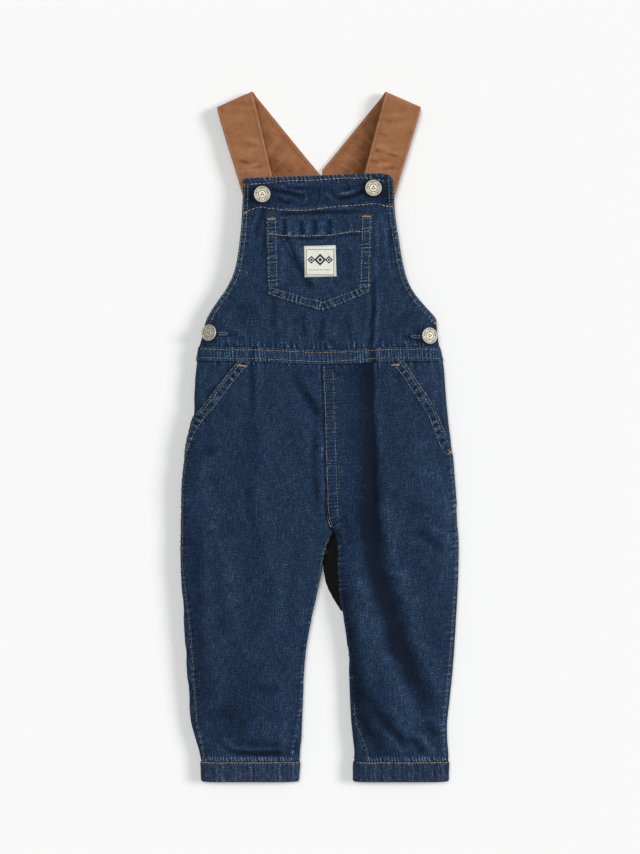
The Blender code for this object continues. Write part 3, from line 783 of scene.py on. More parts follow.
@dataclass(frozen=True)
class WovenPatch:
    """Cream woven tape with a plain navy frame, three lozenges and a dashed line."""

    name: str
    cream: tuple = (0.85, 0.84, 0.75)
    navy: tuple = (0.012, 0.018, 0.04)
    frame_mm: float = 12.0
    frame_width_mm: float = 0.34

    def build(self) -> Material:
        """Weaves the motif and makes the material.

        Returns:
            The material.
        """
        g = Graph(self.name)
        place, across, along = g.cloth_place()
        frame = (across.absolute() - 0.9).most((along + 0.9).absolute())
        mask = (frame - self.frame_mm).absolute().step(self.frame_width_mm, 0.12)
        for centre, size in ((0.0, 5.6), (-8.3, 3.7), (8.3, 3.7)):
            taxi = (across - centre).absolute() + (along - 1.4).absolute()
            ring = (taxi - size * 0.8).absolute().step(size * 0.26, size * 0.18)
            mask = mask.most(ring).most(taxi.step(size * 0.42, size * 0.32))
        dash = (across * (2 * math.pi / 2.1)).sine().step(-0.1, 0.25)
        row = (along + 8.2).absolute().step(0.62, 0.4) * across.absolute().step(10.5, 10.1)
        mask = mask.most(dash * row * 0.8)
        yarn = g.noise(place, 2.2, 0.25, 2)
        pick = (along * (2 * math.pi / 0.55)).sine()
        stain = g.noise(place, 0.08, 0.08, 2)
        cream = g.mix(0.6 + yarn * 0.6 + stain * 0.5, (0.7, 0.69, 0.6), self.cream)
        return g.surface(
            Base_Color=g.mix(mask, cream, self.navy), Roughness=0.8, Specular_IOR_Level=0.25,
            Normal=g.bump(pick * 0.3 + yarn * 0.6, 0.12)
        )


@dataclass(frozen=True)
class Pewter:
    """Antiqued pale metal, dark where the relief is low."""

    name: str
    bright: tuple = (0.62, 0.58, 0.465)
    patina: tuple = (0.05, 0.04, 0.026)

    def build(self) -> Material:
        """Makes the material. The "fade" number is 0 in the recesses and 1 on the relief.

        Returns:
            The material.
        """
        g = Graph(self.name)
        place = g.cloth_place()[0]
        speck = g.noise(place, 1.6, 1.6, 3)
        cloud = g.noise(place, 0.35, 0.35, 2)
        shine = (g.number("fade") + speck * 0.5 + cloud * 0.4).step(0.1, 0.9)
        return g.surface(
            Base_Color=g.mix(shine, self.patina, self.bright), Metallic=0.45, Roughness=0.62 - shine * 0.12,
            Normal=g.bump(speck, 0.06)
        )


@dataclass(frozen=True)
class Yarn:
    """Sewing thread. Each stitch has its own tone."""

    name: str
    deep: tuple
    pale: tuple

    def build(self) -> Material:
        """Makes the material, with the ply of the thread.

        Returns:
            The material.
        """
        g = Graph(self.name)
        place, across, along = g.cloth_place()
        ply = ((across * 9.0) + (along * 7.0)).sine()
        tone = g.number("fade") + g.noise(place, 0.8, 0.8, 2) * 0.5 + ply * 0.06
        return g.surface(
            Base_Color=g.mix(tone.step(0.0, 1.0), self.deep, self.pale), Roughness=0.6,
            Specular_IOR_Level=0.3, Sheen_Weight=0.2, Normal=g.bump(ply, 0.05)
        )


@dataclass(frozen=True)
class Paper:
    """The plain pale floor."""

    name: str
    colour: tuple = (0.93, 0.93, 0.93)

    def build(self) -> Material:
        """Makes the material."""
        return Graph(self.name).surface(Base_Color=self.colour, Roughness=0.9, Specular_IOR_Level=0.1)


class Thread(Enum):
    """Threads that the garment is sewn with."""

    GOLD = Yarn("thread_gold", (0.22, 0.17, 0.09), (0.8, 0.69, 0.46))
    SLATE = Yarn("thread_slate", (0.095, 0.11, 0.095), (0.38, 0.42, 0.35))
    BRASS = Yarn("thread_brass", (0.105, 0.095, 0.075), (0.43, 0.39, 0.31))
    AMBER = Yarn("thread_amber", (0.24, 0.15, 0.08), (0.7, 0.5, 0.3))
    ORANGE = Yarn("thread_orange", (0.18, 0.06, 0.016), (0.64, 0.35, 0.12))
    FROST = Yarn("thread_frost", (0.02, 0.03, 0.055), (0.17, 0.21, 0.28))
    TAN = Yarn("thread_tan", (0.21, 0.085, 0.034), (0.4, 0.19, 0.088))


class Finish(Enum):
    """Every other finish of the garment and its setting."""

    DENIM = Denim("denim")
    DENIM_TRIM = Denim(
        "denim_trim", 0.02, (0.0045, 0.006, 0.018), (0.015, 0.0275, 0.066), (0.04, 0.07, 0.129)
    )
    # Near-black grey denim for the crotch piece: painted shadow between the legs.
    DENIM_SHADE = Denim(
        "denim_shade", 0.0, (0.006, 0.0058, 0.0064), (0.012, 0.0125, 0.015), (0.03, 0.033, 0.04)
    )
    CANVAS = Canvas("canvas")
    PATCH = WovenPatch("woven_patch")
    PEWTER = Pewter("pewter")
    PAPER = Paper("floor_paper")


_made: dict[str, Material] = {}


def material(finish: Finish | Thread) -> Material:
    """Gives a finish's material, made once.

    Args:
        finish: A finish or a thread.

    Returns:
        Its material.
    """
    if finish.name not in _made:
        _made[finish.name] = finish.value.build()
    return _made[finish.name]


# Meshes.


def settle(points: Array) -> Array:
    """Lets the waist seam sag towards the hems at its middle, as the laid cloth does.

    Args:
        points: Points in millimetres.

    Returns:
        The points where they settle.
    """
    moved = np.array(points, float)
    x, y = moved[..., 0], moved[..., 1]
    moved[..., 1] = y - SAG_DEPTH * bell(x - SAG_X, SAG_WIDE) * bell(y - SAG_Y, SAG_TALL)
    return moved


def grid_normals(points: Array, closed: bool) -> Array:
    """Works out the unit normals of a grid.

    Args:
        points: The grid's points.
        closed: Whether each row's ends meet.

    Returns:
        One normal for each point.
    """
    if closed:
        wide = np.concatenate([points[:, -1:], points, points[:, :1]], axis=1)
        across = (wide[:, 2:] - wide[:, :-2]) / 2
    else:
        across = np.gradient(points, axis=1)
    return unit(np.cross(across, np.gradient(points, axis=0)))


def grid_faces(rows: int, columns: int, start: int, closed: bool) -> Array:
    """Joins a grid of vertices with quads, row by row.

    Args:
        rows: Its rows.
        columns: Vertices in a row.
        start: Number of its first vertex.
        closed: Whether each row's ends meet.

    Returns:
        Four vertex numbers for each quad.
    """
    index = start + np.arange(rows * columns).reshape(rows, columns)
    right = np.roll(index, -1, axis=1)
    last = columns if closed else columns - 1
    quads = index[:-1, :last], right[:-1, :last], right[1:, :last], index[1:, :last]
    return np.stack(quads, axis=-1).reshape(-1, 4)


def make_object(name: str, vertices: Array, faces: list, finish: Finish | Thread, **numbers: Array) -> Piece:
    """Makes a smooth object of the garment.

    Args:
        name: The piece's name.
        vertices: Points in millimetres.
        faces: Lists of vertex numbers.
        finish: What it is made of.
        numbers: Attributes of the vertices: "fade", and "cloth" as three numbers each.

    Returns:
        The object, riding with the garment.
    """
    mesh = bpy.data.meshes.new(name)
    mesh.from_pydata((np.asarray(vertices) * MM).tolist(), [], faces)
    for key, values in numbers.items():
        kind = "FLOAT_VECTOR" if values.ndim == 2 else "FLOAT"
        layer = mesh.attributes.new(key, kind, "POINT")
        slot = "vector" if values.ndim == 2 else "value"
        layer.data.foreach_set(slot, np.ascontiguousarray(values, np.float32).ravel())
    mesh.materials.append(material(finish))
    mesh.shade_smooth()
    made = bpy.data.objects.new(name, mesh)
    bpy.context.scene.collection.objects.link(made)
    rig.ride(made, "root")
    return made


class Side(Enum):
    """Which way a piece's outer face looks."""

    UP = 1
    DOWN = -1
    ROUND = 0


def soften(values: Array, passes: int, closed: bool) -> Array:
    """Blurs a grid by averaging neighbours.

    Args:
        values: The grid's values.
        passes: How many times.
        closed: Whether each row's ends meet.

    Returns:
        The blurred values.
    """
    for _ in range(passes):
        wide = np.pad(values, ((1, 1), (0, 0)), mode="edge")
        values = (wide[:-2] + 2 * wide[1:-1] + wide[2:]) / 4
        wide = np.pad(values, ((0, 0), (1, 1)), mode="wrap" if closed else "edge")
        values = (wide[:, :-2] + 2 * wide[:, 1:-1] + wide[:, 2:]) / 4
    return values


@dataclass(frozen=True)
class Cut:
    """A piece's flat cut in millimetres, the share of it that is cloth, and what it lies on."""

    width: float
    length: float
    share: float = 1.0
    rests_on: tuple[str, ...] = ()

    def declare(self, piece: Piece) -> None:
        """States the cut of a piece."""
        flat = (self.width * MM, self.length * MM)
        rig.sheet(piece, flat=flat, held="laid", rests_on=self.rests_on, area=flat[0] * flat[1] * self.share)


@dataclass
class ClothShell:
    """A piece of cloth as a wall on a grid of its outer face's points.

    The inner face has a vertex for every "skip" of the outer face, and shows the share
    "through" of its relief and fade. "rolled" is how far each rim is turned under: the grid's
    first and last row, then its first and last column.
    """

    name: str
    node: str
    grid: Array
    wall: float
    relief: Relief
    cut: Cut
    side: Side = Side.UP
    finish: Finish = Finish.DENIM
    slot: str = "denim"
    rolled: tuple[float, float, float, float] = (1.0, 1.0, 1.0, 1.0)
    origin: tuple[float, float] | None = None
    skip: int = 4
    through: float = 0.0

    RUB = 1.5
    BLUR = 7
    THINNEST = 0.5
    OUTER_FLOOR, INNER_FLOOR = 0.02, 0.3
    ROLL_DROP, ROLL_WIDTH, ROLL_FADE = 0.45, 0.9, 0.35

    def __post_init__(self) -> None:
        """Reads the grid's form."""
        self.closed = self.side is Side.ROUND
        self.rows, self.columns = self.grid.shape[:2]
        self.count = self.rows * self.columns

    def build(self) -> Piece:
        """Makes the wall: relief on the outer face, a plain inner face and rolled rims.

        Returns:
            The piece, with its solid, its slot and its cut stated.
        """
        normal, flipped = self._normals()
        height, fade = self.relief(self.grid[..., 0], self.grid[..., 1])
        soft = soften(height, self.BLUR, self.closed)
        # Cloth standing above its blurred form is painted paler and cloth sunk below it darker: painted shading.
        fade = fade + np.clip(self.RUB * (height - soft), -0.5, 0.6)
        hollow = np.minimum(soft, 0)
        height = np.maximum(height, hollow + self.THINNEST - self.wall)
        flat = self._flat_place()
        roll = self._roll(flat)
        outer = self.grid + normal * (height - roll)[..., None]
        under = hollow + self.through * (height - hollow) - self.wall
        inner = self.grid + normal * under[..., None]
        outer[..., 2] = np.maximum(outer[..., 2], self.OUTER_FLOOR)
        inner[..., 2] = np.maximum(inner[..., 2], self.INNER_FLOOR)
        faces = grid_faces(self.rows, self.columns, 0, self.closed).tolist()
        faces += self._inner_faces() + self._rims()
        used = np.zeros(2 * self.count, bool)
        used[[v for face in faces for v in face]] = True
        place = np.cumsum(used) - 1
        turn = -1 if flipped else 1
        faces = [[int(place[v]) for v in face[::turn]] for face in faces]
        points = settle(np.concatenate([outer.reshape(-1, 3), inner.reshape(-1, 3)]))[used]
        flat = np.concatenate([flat, np.zeros((self.rows, self.columns, 1))], axis=-1).reshape(-1, 3)
        # Rolled rims are painted paler, as painted highlight.
        shades = (fade + roll * self.ROLL_FADE).ravel(), (fade * self.through).ravel()
        made = make_object(
            self.name, points, faces, self.finish, cloth=np.concatenate([flat, flat])[used],
            fade=np.concatenate(shades)[used]
        )
        if self.node:
            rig.replaces(made, self.node)
        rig.slot(made, self.slot)
        self.cut.declare(made)
        return made

    def _normals(self) -> tuple[Array, bool]:
        """Works out the outer face's normals.

        Returns:
            Unit normals, and whether they are against the grid's own.
        """
        normal = grid_normals(self.grid, self.closed)
        if self.closed:
            sign = np.sign((normal * (self.grid - self.grid.mean(axis=(0, 1)))).sum(-1).mean())
        else:
            sign = np.sign(normal[..., 2].mean()) * self.side.value
        return normal * sign, bool(sign < 0)

    def _inner_faces(self) -> list[list[int]]:
        """Makes larger faces inside, whose outer edges keep every vertex of the rim.

        Returns:
            Vertex numbers of each face.
        """
        index = self.count + np.arange(self.count).reshape(self.rows, self.columns)
        if self.closed:
            index = np.concatenate([index, index[:, :1]], axis=1)
        last_row, last_column = self.rows - 1, index.shape[1] - 1
        made = []
        for i in range(0, last_row, self.skip):
            for j in range(0, last_column, self.skip):
                low, right = min(i + self.skip, last_row), min(j + self.skip, last_column)
                top = list(index[i, j : right + 1]) if i == 0 else [index[i, j], index[i, right]]
                foot = [index[low, right], index[low, j]]
                if low == last_row:
                    foot = list(index[low, j : right + 1][::-1])
                up = [] if j or self.closed else list(index[i + 1 : low, j][::-1])
                down = [] if right < last_column or self.closed else list(index[i + 1 : low, right])
                made.append([int(v) for v in (top + down + foot + up)[::-1]])
        return made

    def _flat_place(self) -> Array:
        """Finds each grid point's place on the flat cloth.

        Returns:
            Millimetres across and along.
        """
        if self.origin is not None:
            return self.grid[..., :2] - np.array(self.origin)
        across = np.linalg.norm(np.diff(self.grid, axis=1), axis=-1)
        across = np.concatenate([np.zeros((len(across), 1)), np.cumsum(across, axis=1)], axis=1)
        across -= across[:, [across.shape[1] // 2]]
        along = np.linalg.norm(np.diff(self.grid, axis=0), axis=-1)
        along = np.concatenate([np.zeros((1, along.shape[1])), np.cumsum(along, axis=0)])
        along = along + self.grid[0, :, 1][None, :] if self.closed else along
        return np.stack([across, along], axis=-1)

    def _roll(self, flat: Array) -> Array:
        """Drops the rims of the outer face, where the cloth is turned under.

        Args:
            flat: Each point's place on the flat cloth.

        Returns:
            How far each point drops.
        """
        first, last, left, right = self.rolled
        wide, along = self.ROLL_WIDTH, flat[..., 1]
        drop = first * bell(along - along[:1], wide) + last * bell(along - along[-1:], wide)
        if not self.closed:
            across = flat[..., 0]
            drop += left * bell(across - across[:, :1], wide)
            drop += right * bell(across - across[:, -1:], wide)
        return self.ROLL_DROP * np.minimum(drop, 1)

    def _rims(self) -> list[list[int]]:
        """Joins the outer and the inner face along the grid's ends and sides.

        Returns:
            Vertex numbers of each quad.
        """
        index = np.arange(self.count).reshape(self.rows, self.columns)
        if self.closed:
            strips = [(np.append(index[k], index[k, 0]), k == 0) for k in (0, -1)]
        else:
            strips = [(index[0], True), (index[-1], False), (index[:, 0], False), (index[:, -1], True)]
        made = []
        for line, flip in strips:
            quads = np.stack([line[:-1], line[1:], line[1:] + self.count, line[:-1] + self.count], axis=-1)
            made += (quads[:, ::-1] if flip else quads).tolist()
        return made


# Seams and creases.


@dataclass(frozen=True)
class Row:
    """A row of stitches beside a seam's line."""

    offset: float
    thread: Thread
    start: float = 0.0
    end: float = 1.0
    strength: float = 1.0
    pitch: float = 2.9


@dataclass(frozen=True)
class Seam:
    """A sewn strip beside a line: its extra thickness, its puckers and its stitches, with painted shading on its
    puckers, its raised edge and its stitch grooves.
    """

    line: Line
    low: float = 0.0
    high: float = 6.0
    raised: float = 0.3
    pucker: float = 0.25
    pitch: float = 5.0
    spill: float = 4.0
    tone: float = -0.05
    rows: tuple[Row, ...] = ()
    seed: int = 1
    slant: float = 0.12
    ribs: float = 0.08
    steady: float = 0.0

    GROOVE_WIDTH, GROOVE_DEPTH, GROOVE_SHADE = 0.9, 0.26, 0.15

    def relief(self, x: Array, y: Array) -> Pair:
        """Works out what the seam adds to the cloth.

        Args:
            x: Places across.
            y: Places along.

        Returns:
            Height and fade there.
        """
        reach = max(abs(self.low), abs(self.high)) + 4 * self.spill
        distance, run = self.line.locate(x, y, reach)
        inside = smooth(distance, self.low - 0.4, self.low + 0.4)
        inside = inside * smooth(distance, self.high + 0.6, self.high - 0.6)
        beyond = np.maximum(self.low - distance, distance - self.high)
        spread = np.where(beyond > 0, 0.75 * np.exp(-np.maximum(beyond, 0) / self.spill), 1.0)
        spread = spread * (distance < 1e3)
        phase = run * (2 * math.pi / self.pitch) + 2.8 * wander(run, self.pitch * 6, self.seed)
        phase = phase + self.slant * distance
        uneven = 0.75 * (1 - self.steady) * wander(run, 31, self.seed + 7)
        strength = np.clip(0.75 + uneven, 0.15, 1.6)
        ripple = np.sin(phase) + 0.4 * np.sin(1.7 * phase + 0.5 * distance + 1.3)
        height = self.raised * inside + self.pucker * spread * ripple * strength
        # The strip's own tone, then puckers painted paler on their crests and darker in their hollows: wash wear with
        # painted shading.
        fade = self.tone * inside + self.ribs * spread * ripple * strength
        # A paler line along a raised edge: wear and painted highlight.
        edge = bell(distance - self.low - 0.5, 0.6) * (self.raised > 0.15)
        fade = fade + 0.2 * edge * (1 + 0.8 * ripple)
        part = run / self.line.length
        for row in self.rows:
            # Painted shade in each stitch groove.
            groove = bell(distance - row.offset, self.GROOVE_WIDTH)
            groove = groove * ((part >= row.start) & (part <= row.end))
            height = height - self.GROOVE_DEPTH * groove
            fade = fade - self.GROOVE_SHADE * groove * min(row.strength, 1.0)
        return height, fade


@dataclass(frozen=True)
class Crease:
    """A trough (depth below 0) or ridge along given x, y, x, y points, fading out at both ends."""

    points: tuple
    depth: float
    width: float
    rub: float = 0.16
    ends: tuple[float, float] = (0.3, 0.3)

    def relief(self, x: Array, y: Array) -> Pair:
        """Works out what the crease adds to the cloth.

        Args:
            x: Places across.
            y: Places along.

        Returns:
            Height and fade there.
        """
        line = Line(self.points)
        distance, run = line.locate(x, y, 4 * self.width)
        part = run / line.length
        seed = int(abs(self.points[0]) * 10) + 3
        taper = smooth(part, -0.02, self.ends[0]) * smooth(part, 1.02, 1 - self.ends[1])
        distance = distance + 0.25 * self.width * wander(run, 70, seed)
        uneven = 1 + 0.25 * wander(run, 60, seed + 1)
        shape = bell(distance, self.width) - 0.3 * bell(distance - 2.1 * self.width, self.width)
        shape = shape * taper * uneven
        # Painted shade along a trough and painted light along a ridge.
        return self.depth * shape, self.rub * np.sign(self.depth) * shape


@dataclass(frozen=True)
class Pleat:
    """A fold along such points, with a crest and a hollow that falls away from it on its right. The hollow is painted
    dark beside the crest, as painted shadow cast by the crest.
    """

    points: tuple
    depth: float
    width: float
    ridge: float = 0.5
    rub: float = 0.5
    ends: tuple[float, float] = (0.05, 0.3)
    crest: float = 1.3
    opening: float = 3.0

    def relief(self, x: Array, y: Array) -> Pair:
        """Works out what the pleat adds to the cloth.

        Args:
            x: Places across.
            y: Places along.

        Returns:
            Height and fade there.
        """
        line = Line(self.points)
        distance, run = line.locate(x, y, 7 * self.width)
        part = run / line.length
        seed = int(abs(self.points[0]) * 10) + 5
        distance = distance + 0.8 * wander(run, 90, seed)
        taper = smooth(part, -0.02, self.ends[0]) * smooth(part, 1.02, 1 - self.ends[1])
        taper = taper * (1 + 0.12 * wander(run, 80, seed + 1))
        soft = self.crest + self.opening * part
        inward = soft * np.logaddexp(0, -distance / soft)
        fall = inward / self.width
        height = self.ridge * bell(distance - 5, 8) - self.depth * fall * np.exp(1 - fall)
        # Painted shadow of the crest, darkest in the hollow next to it.
        shade = -self.rub * smooth(distance, soft, -soft) * bell(inward, 1.6 * self.width)
        return height * taper, shade * taper


@dataclass(frozen=True)
class Dimple:
    """A round dent in the cloth, as round a tack button, with painted shade in the dent. With no depth it is a round
    patch of painted shade, or of painted light where its shading is above 0.
    """

    x: float
    y: float
    radius: float
    depth: float
    rub: float = -0.2

    def relief(self, x: Array, y: Array) -> Pair:
        """Height and fade that the dent adds at points in plan."""
        shape = bell(np.hypot(x - self.x, y - self.y), self.radius)
        return -self.depth * shape, self.rub * shape


Fall = Union[Crease, Pleat, Dimple]


def layered(
    seams: Sequence[Seam] = (), creases: Sequence[Fall] = (),
    crumples: Sequence[tuple[float, float]] = ((26.0, 0.25), (11.0, 0.07)), seed: int = 1
) -> Relief:
    """One relief of a piece from its seams, creases and uneven lie.

    Args:
        seams: Its seams.
        creases: Its creases.
        crumples: Size and height of its soft bumps, in millimetres.
        seed: Which pattern of bumps.

    Returns:
        A function of the plan that gives the height and the fade.
    """

    def relief(x: Array, y: Array) -> Pair:
        """Adds up the layers.

        Args:
            x: Places across.
            y: Places along.

        Returns:
            Height and fade there.
        """
        height, fade = np.zeros(np.shape(x)), np.zeros(np.shape(x))
        for number, (scale, size) in enumerate(crumples):
            bumps = crumple(x, y, scale, seed + number)
            height, fade = height + size * bumps, fade + 0.03 * bumps
        for item in (*seams, *creases):
            more, paler = item.relief(x, y)
            height, fade = height + more, fade + paler
        return height, np.clip(fade, -0.84, 0.8)

    return relief


def dented(depth: float, scale: float, seed: int) -> Relief:
    """One relief of shallow dents that lift off the floor.

    Args:
        depth: How far they lift, in millimetres.
        scale: Their size.
        seed: Which pattern.

    Returns:
        A function of the plan that gives the height and the fade.
    """

    def relief(x: Array, y: Array) -> Pair:
        """Height and fade at points in plan."""
        bumps = crumple(x, y, scale, seed)
        return -depth * smooth(bumps, 0.15, 1.1), 0.06 * bumps

    return relief


@dataclass
class Face:
    """A piece's finished outer face, for what is sewn on it."""

    base: Height
    relief: Relief

    def point(self, x: Array, y: Array, lift: float = 0.0) -> Pair:
        """Finds points on the face.

        Args:
            x: Places across.
            y: Places along.
            lift: How far they are raised off it.

        Returns:
            The points, and their unit normals.
        """
        small = 0.6
        z = self.base(x, y)
        slope_x = (self.base(x + small, y) - self.base(x - small, y)) / (2 * small)
        slope_y = (self.base(x, y + small) - self.base(x, y - small)) / (2 * small)
        normal = unit(np.stack([-slope_x, -slope_y, np.ones_like(z)], axis=-1))
        height = self.relief(x, y)[0] + lift
        points = np.stack([x, y, z], axis=-1) + normal * np.asarray(height)[..., None]
        return settle(points), normal


@dataclass
class Sewing:
    """All stitches of the garment, gathered by thread and made as one mesh for each.

    Each stitch is a bead of thread through five stations, with its place along the stitch,
    its share of the thread's radius and its rise off the cloth.
    """

    fill: float = 0.86
    radius: float = 0.26
    sides: int = 6
    seed: int = 5
    parts: dict[Thread, list] = field(default_factory=dict)

    PLACES, SIZES, RISES = np.array(
        ((-0.5, 0.35, -0.25), (-0.32, 0.9, 0.18), (0.0, 1.0, 0.26), (0.32, 0.9, 0.18), (0.5, 0.35, -0.25))
    ).T
    RISE_RADIUS = 0.3
    TACK_PITCH, TACK_LEAN, TACK_CORE = 0.42, 0.18, 0.35
    HOLE_PITCH, HOLE_INNER, HOLE_OUTER = 0.5, 0.35, 1.75

    def seam(self, face: Face, seam: Seam) -> None:
        """Sews every row of a seam.

        Args:
            face: What it is sewn on.
            seam: The seam.
        """
        for number, row in enumerate(seam.rows):
            start, end = row.start * seam.line.length, row.end * seam.line.length
            self.run(face, seam.line, row, start, end, self.seed + number)

    def run(self, face: Face, line: Line, row: Row, start: float, end: float, seed: int = 0) -> None:
        """Sews one row of lockstitches.

        Args:
            face: What it is sewn on.
            line: The seam's line.
            row: The row's place and thread.
            start: Where it starts along the line.
            end: Where it ends along the line.
            seed: Which unevenness.
        """
        rng = np.random.default_rng(seed + int(line.length * 10))
        middles = np.arange(start + row.pitch / 2, end, row.pitch)
        if not middles.size:
            return
        middles = middles + rng.normal(0, 0.12, middles.size)
        drift = row.offset + 0.22 * wander(middles, 40, seed + 3)
        lengths = self.fill * row.pitch * rng.uniform(0.88, 1.08, middles.size)
        runs = middles[:, None] + self.PLACES * lengths[:, None]
        x, y = line.at(runs, 0.0)
        beside_x, beside_y = line.at(runs, 1.0)
        x, y = x + (beside_x - x) * drift[:, None], y + (beside_y - y) * drift[:, None]
        tone = rng.normal(0.52, 0.2, middles.size) * row.strength
        self.lay(face.point, x, y, tone, row.thread, self.radius)

    def bars(
        self, face: Face, starts: Array, ends: Array, thread: Thread, radius: float, lift: float
    ) -> None:
        """Sews single straight stitches.

        Args:
            face: What they are sewn on.
            starts: The plan point at which each starts.
            ends: The plan point at which each ends.
            thread: Their thread.
            radius: Its radius.
            lift: How far they stand off the face.
        """
        rng = np.random.default_rng(self.seed + len(starts))
        points = starts[:, None, :] + (ends - starts)[:, None, :] * (self.PLACES + 0.5)[:, None]
        tone = rng.normal(0.62, 0.24, len(starts))
        self.lay(face.point, points[..., 0], points[..., 1], tone, thread, radius, lift)

    @staticmethod
    def _axes(start: Array, end: Array) -> tuple[Array, Array, float]:
        """Measures a straight way in plan.

        Args:
            start: Where it starts.
            end: Where it ends.

        Returns:
            Unit vectors along and across it, and its length.
        """
        length = float(np.linalg.norm(end - start))
        along = (end - start) / length
        return along, np.array([-along[1], along[0]]), length

    def bar_tack(self, face: Face, start: tuple, end: tuple, width: float = 1.3) -> None:
        """A satin bar of close stitches.

        Args:
            face: What it is sewn on.
            start: The plan point at which it starts.
            end: The plan point at which it ends.
            width: Its width.
        """
        a, b = np.array(start, float), np.array(end, float)
        along, side, length = self._axes(a, b)
        middles = a + along * np.arange(0.2, length, self.TACK_PITCH)[:, None]
        half = side * width / 2 + along * self.TACK_LEAN
        self.bars(face, middles - half, middles + half, Thread.ORANGE, 0.27, 0.12)
        runs = np.stack([a + side * k for k in (-self.TACK_CORE, self.TACK_CORE)])
        self.bars(face, runs, runs + (b - a), Thread.ORANGE, 0.3, 0.3)

    def buttonhole(self, face: Face, start: tuple, end: tuple) -> None:
        """Close stitches on both sides of a slit and round its end.

        Args:
            face: What it is sewn on.
            start: The plan point at which the slit starts.
            end: The plan point at which it ends.
        """
        a, b = np.array(start, float), np.array(end, float)
        along, side, length = self._axes(a, b)
        middles = a + along * np.arange(0, length, self.HOLE_PITCH)[:, None]
        for way in (-side, side):
            inner, outer = middles + way * self.HOLE_INNER, middles + way * self.HOLE_OUTER
            self.bars(face, inner, outer, Thread.FROST, 0.27, 0.1)
        turn = np.linspace(-1.3, 1.3, 7)[:, None]
        way = along * np.cos(turn) + side * np.sin(turn)
        self.bars(face, b + way * 0.4, b + way * 1.8, Thread.FROST, 0.27, 0.1)

    def lay(
        self, surface: Surface, x: Array, y: Array, tone: Array, thread: Thread, radius: float,
        lift: float = 0.0
    ) -> None:
        """Lays one bead of thread through each row of places.

        Args:
            surface: Gives points and normals of what it lies on.
            x: Places, one row for each stitch.
            y: Places, one row for each stitch.
            tone: Each stitch's tone, from 0 to 1.
            thread: The thread.
            radius: Its radius.
            lift: How far it stands off the surface.
        """
        middle, normal = surface(x, y, lift)
        middle = middle + normal * (self.RISES * (radius / self.RISE_RADIUS))[:, None]
        side = np.cross(unit(np.gradient(middle, axis=1)), normal)
        angle = (np.arange(self.sides) * (2 * math.pi / self.sides))[:, None]
        around = side[:, :, None, :] * np.cos(angle) + normal[:, :, None, :] * np.sin(angle)
        rings = middle[:, :, None, :] + around * (self.SIZES * radius)[:, None, None]
        self.parts.setdefault(thread, []).append((rings, np.clip(tone, 0, 1)))

    def build(self) -> list[Piece]:
        """Makes one object for each thread.

        Returns:
            The objects.
        """
        made = []
        for thread, parts in self.parts.items():
            rings, tone = (np.concatenate([part[k] for part in parts]) for k in (0, 1))
            count, stations, sides = rings.shape[:3]
            block = stations * sides
            quads = grid_faces(stations, sides, 0, True)
            caps = np.array([list(range(sides))[::-1], list(range(block - sides, block))])
            base = (np.arange(count) * block)[:, None, None]
            faces = (quads[None] + base).reshape(-1, 4).tolist()
            faces += (caps[None] + base).reshape(-1, sides).tolist()
            points = rings.reshape(-1, 3)
            name, fade = f"stitches_{thread.name.lower()}", np.repeat(tone, block)
            made.append(make_object(name, points, faces, thread, cloth=points, fade=fade))
            LOG.info("%s: %d stitches", name, count)
        return made


# Creases and stitch lines.

# Creases, pleats and dimples carry painted shading. Those with a depth near 0 are only a patch of painted shade, or of
# painted light where their shading is above 0.
RIGHT_CREASES = table(
    Crease, ((-24, 64, -18, 46, -8, 31, 2, 18), -0.8, 4, 0.26, (0.35, 0.15)),
    ((-14, 44, -8, 36, -2, 30), -0.3, 2.4, 0.1), ((-4, 14, -5, -10, -4, -40, -3, -74), -0.6, 3.6, 0.24),
    ((-63.5, 78, -64, 60, -64, 30, -65, 10), -0.8, 3.4, 0.2, (0.03, 0.5)),
    ((-64, 36, -66, -5, -67, -60), -0.4, 9, 0.15), ((-66, -30, -66, -60, -58, -110), -0.4, 5, 0.1),
    ((-70, -70, -66, -100, -62, -150), -0.5, 9, 0.08),
    ((-117, -70, -116, -150, -113, -220, -106, -280), -0.3, 9, 0.24, (0.2, 0.2)),
    ((-104, -60, -98, -110, -94, -160, -97, -210), -0.5, 7, 0.12),
    ((-120, -15, -102, -75, -91, -130, -84, -180), 0.4, 7, 0.1),
    ((-84, -80, -82, -130, -80, -200), 0.4, 9, 0.05), ((-112, -120, -108, -160, -108, -220), 0.4, 5, 0.06),
    ((-40, -120, -52, -150, -58, -190), -0.5, 7, 0.08), ((-30, -100, -36, -140, -40, -180), 0.4, 6, 0.06),
    ((-74, -200, -76, -245, -80, -290), -0.3, 22, 0.18, (0.4, 0.1)),
    ((-96, -250, -88, -262, -62, -278), -0.8, 13, 0.16), ((-63, -236, -50, -240, -38, -234), -0.5, 5, 0.14),
    ((-111, -281, -98, -287, -86, -297, -60, -301, -33, -300), -1, 2.5, 0.36, (0.6, 0.1)),
    ((-84, -291, -62, -294, -36, -297), -0.3, 7, 0.26, (0.2, 0.1)),
    ((-30, -262, -34, -276, -36, -298), 0.6, 4, 0.1), ((-84, -272, -80, -280, -82, -290), 0.5, 3.5, 0.1)
) + table(
    Dimple, (-104, -13.7, 5.5, 0.6, -0.16), (-91, -262, 8, 0.6, -0.14), (-93, -178, 9, 0.4, -0.1),
    (-112, -196, 6, 0.3, -0.12)
)
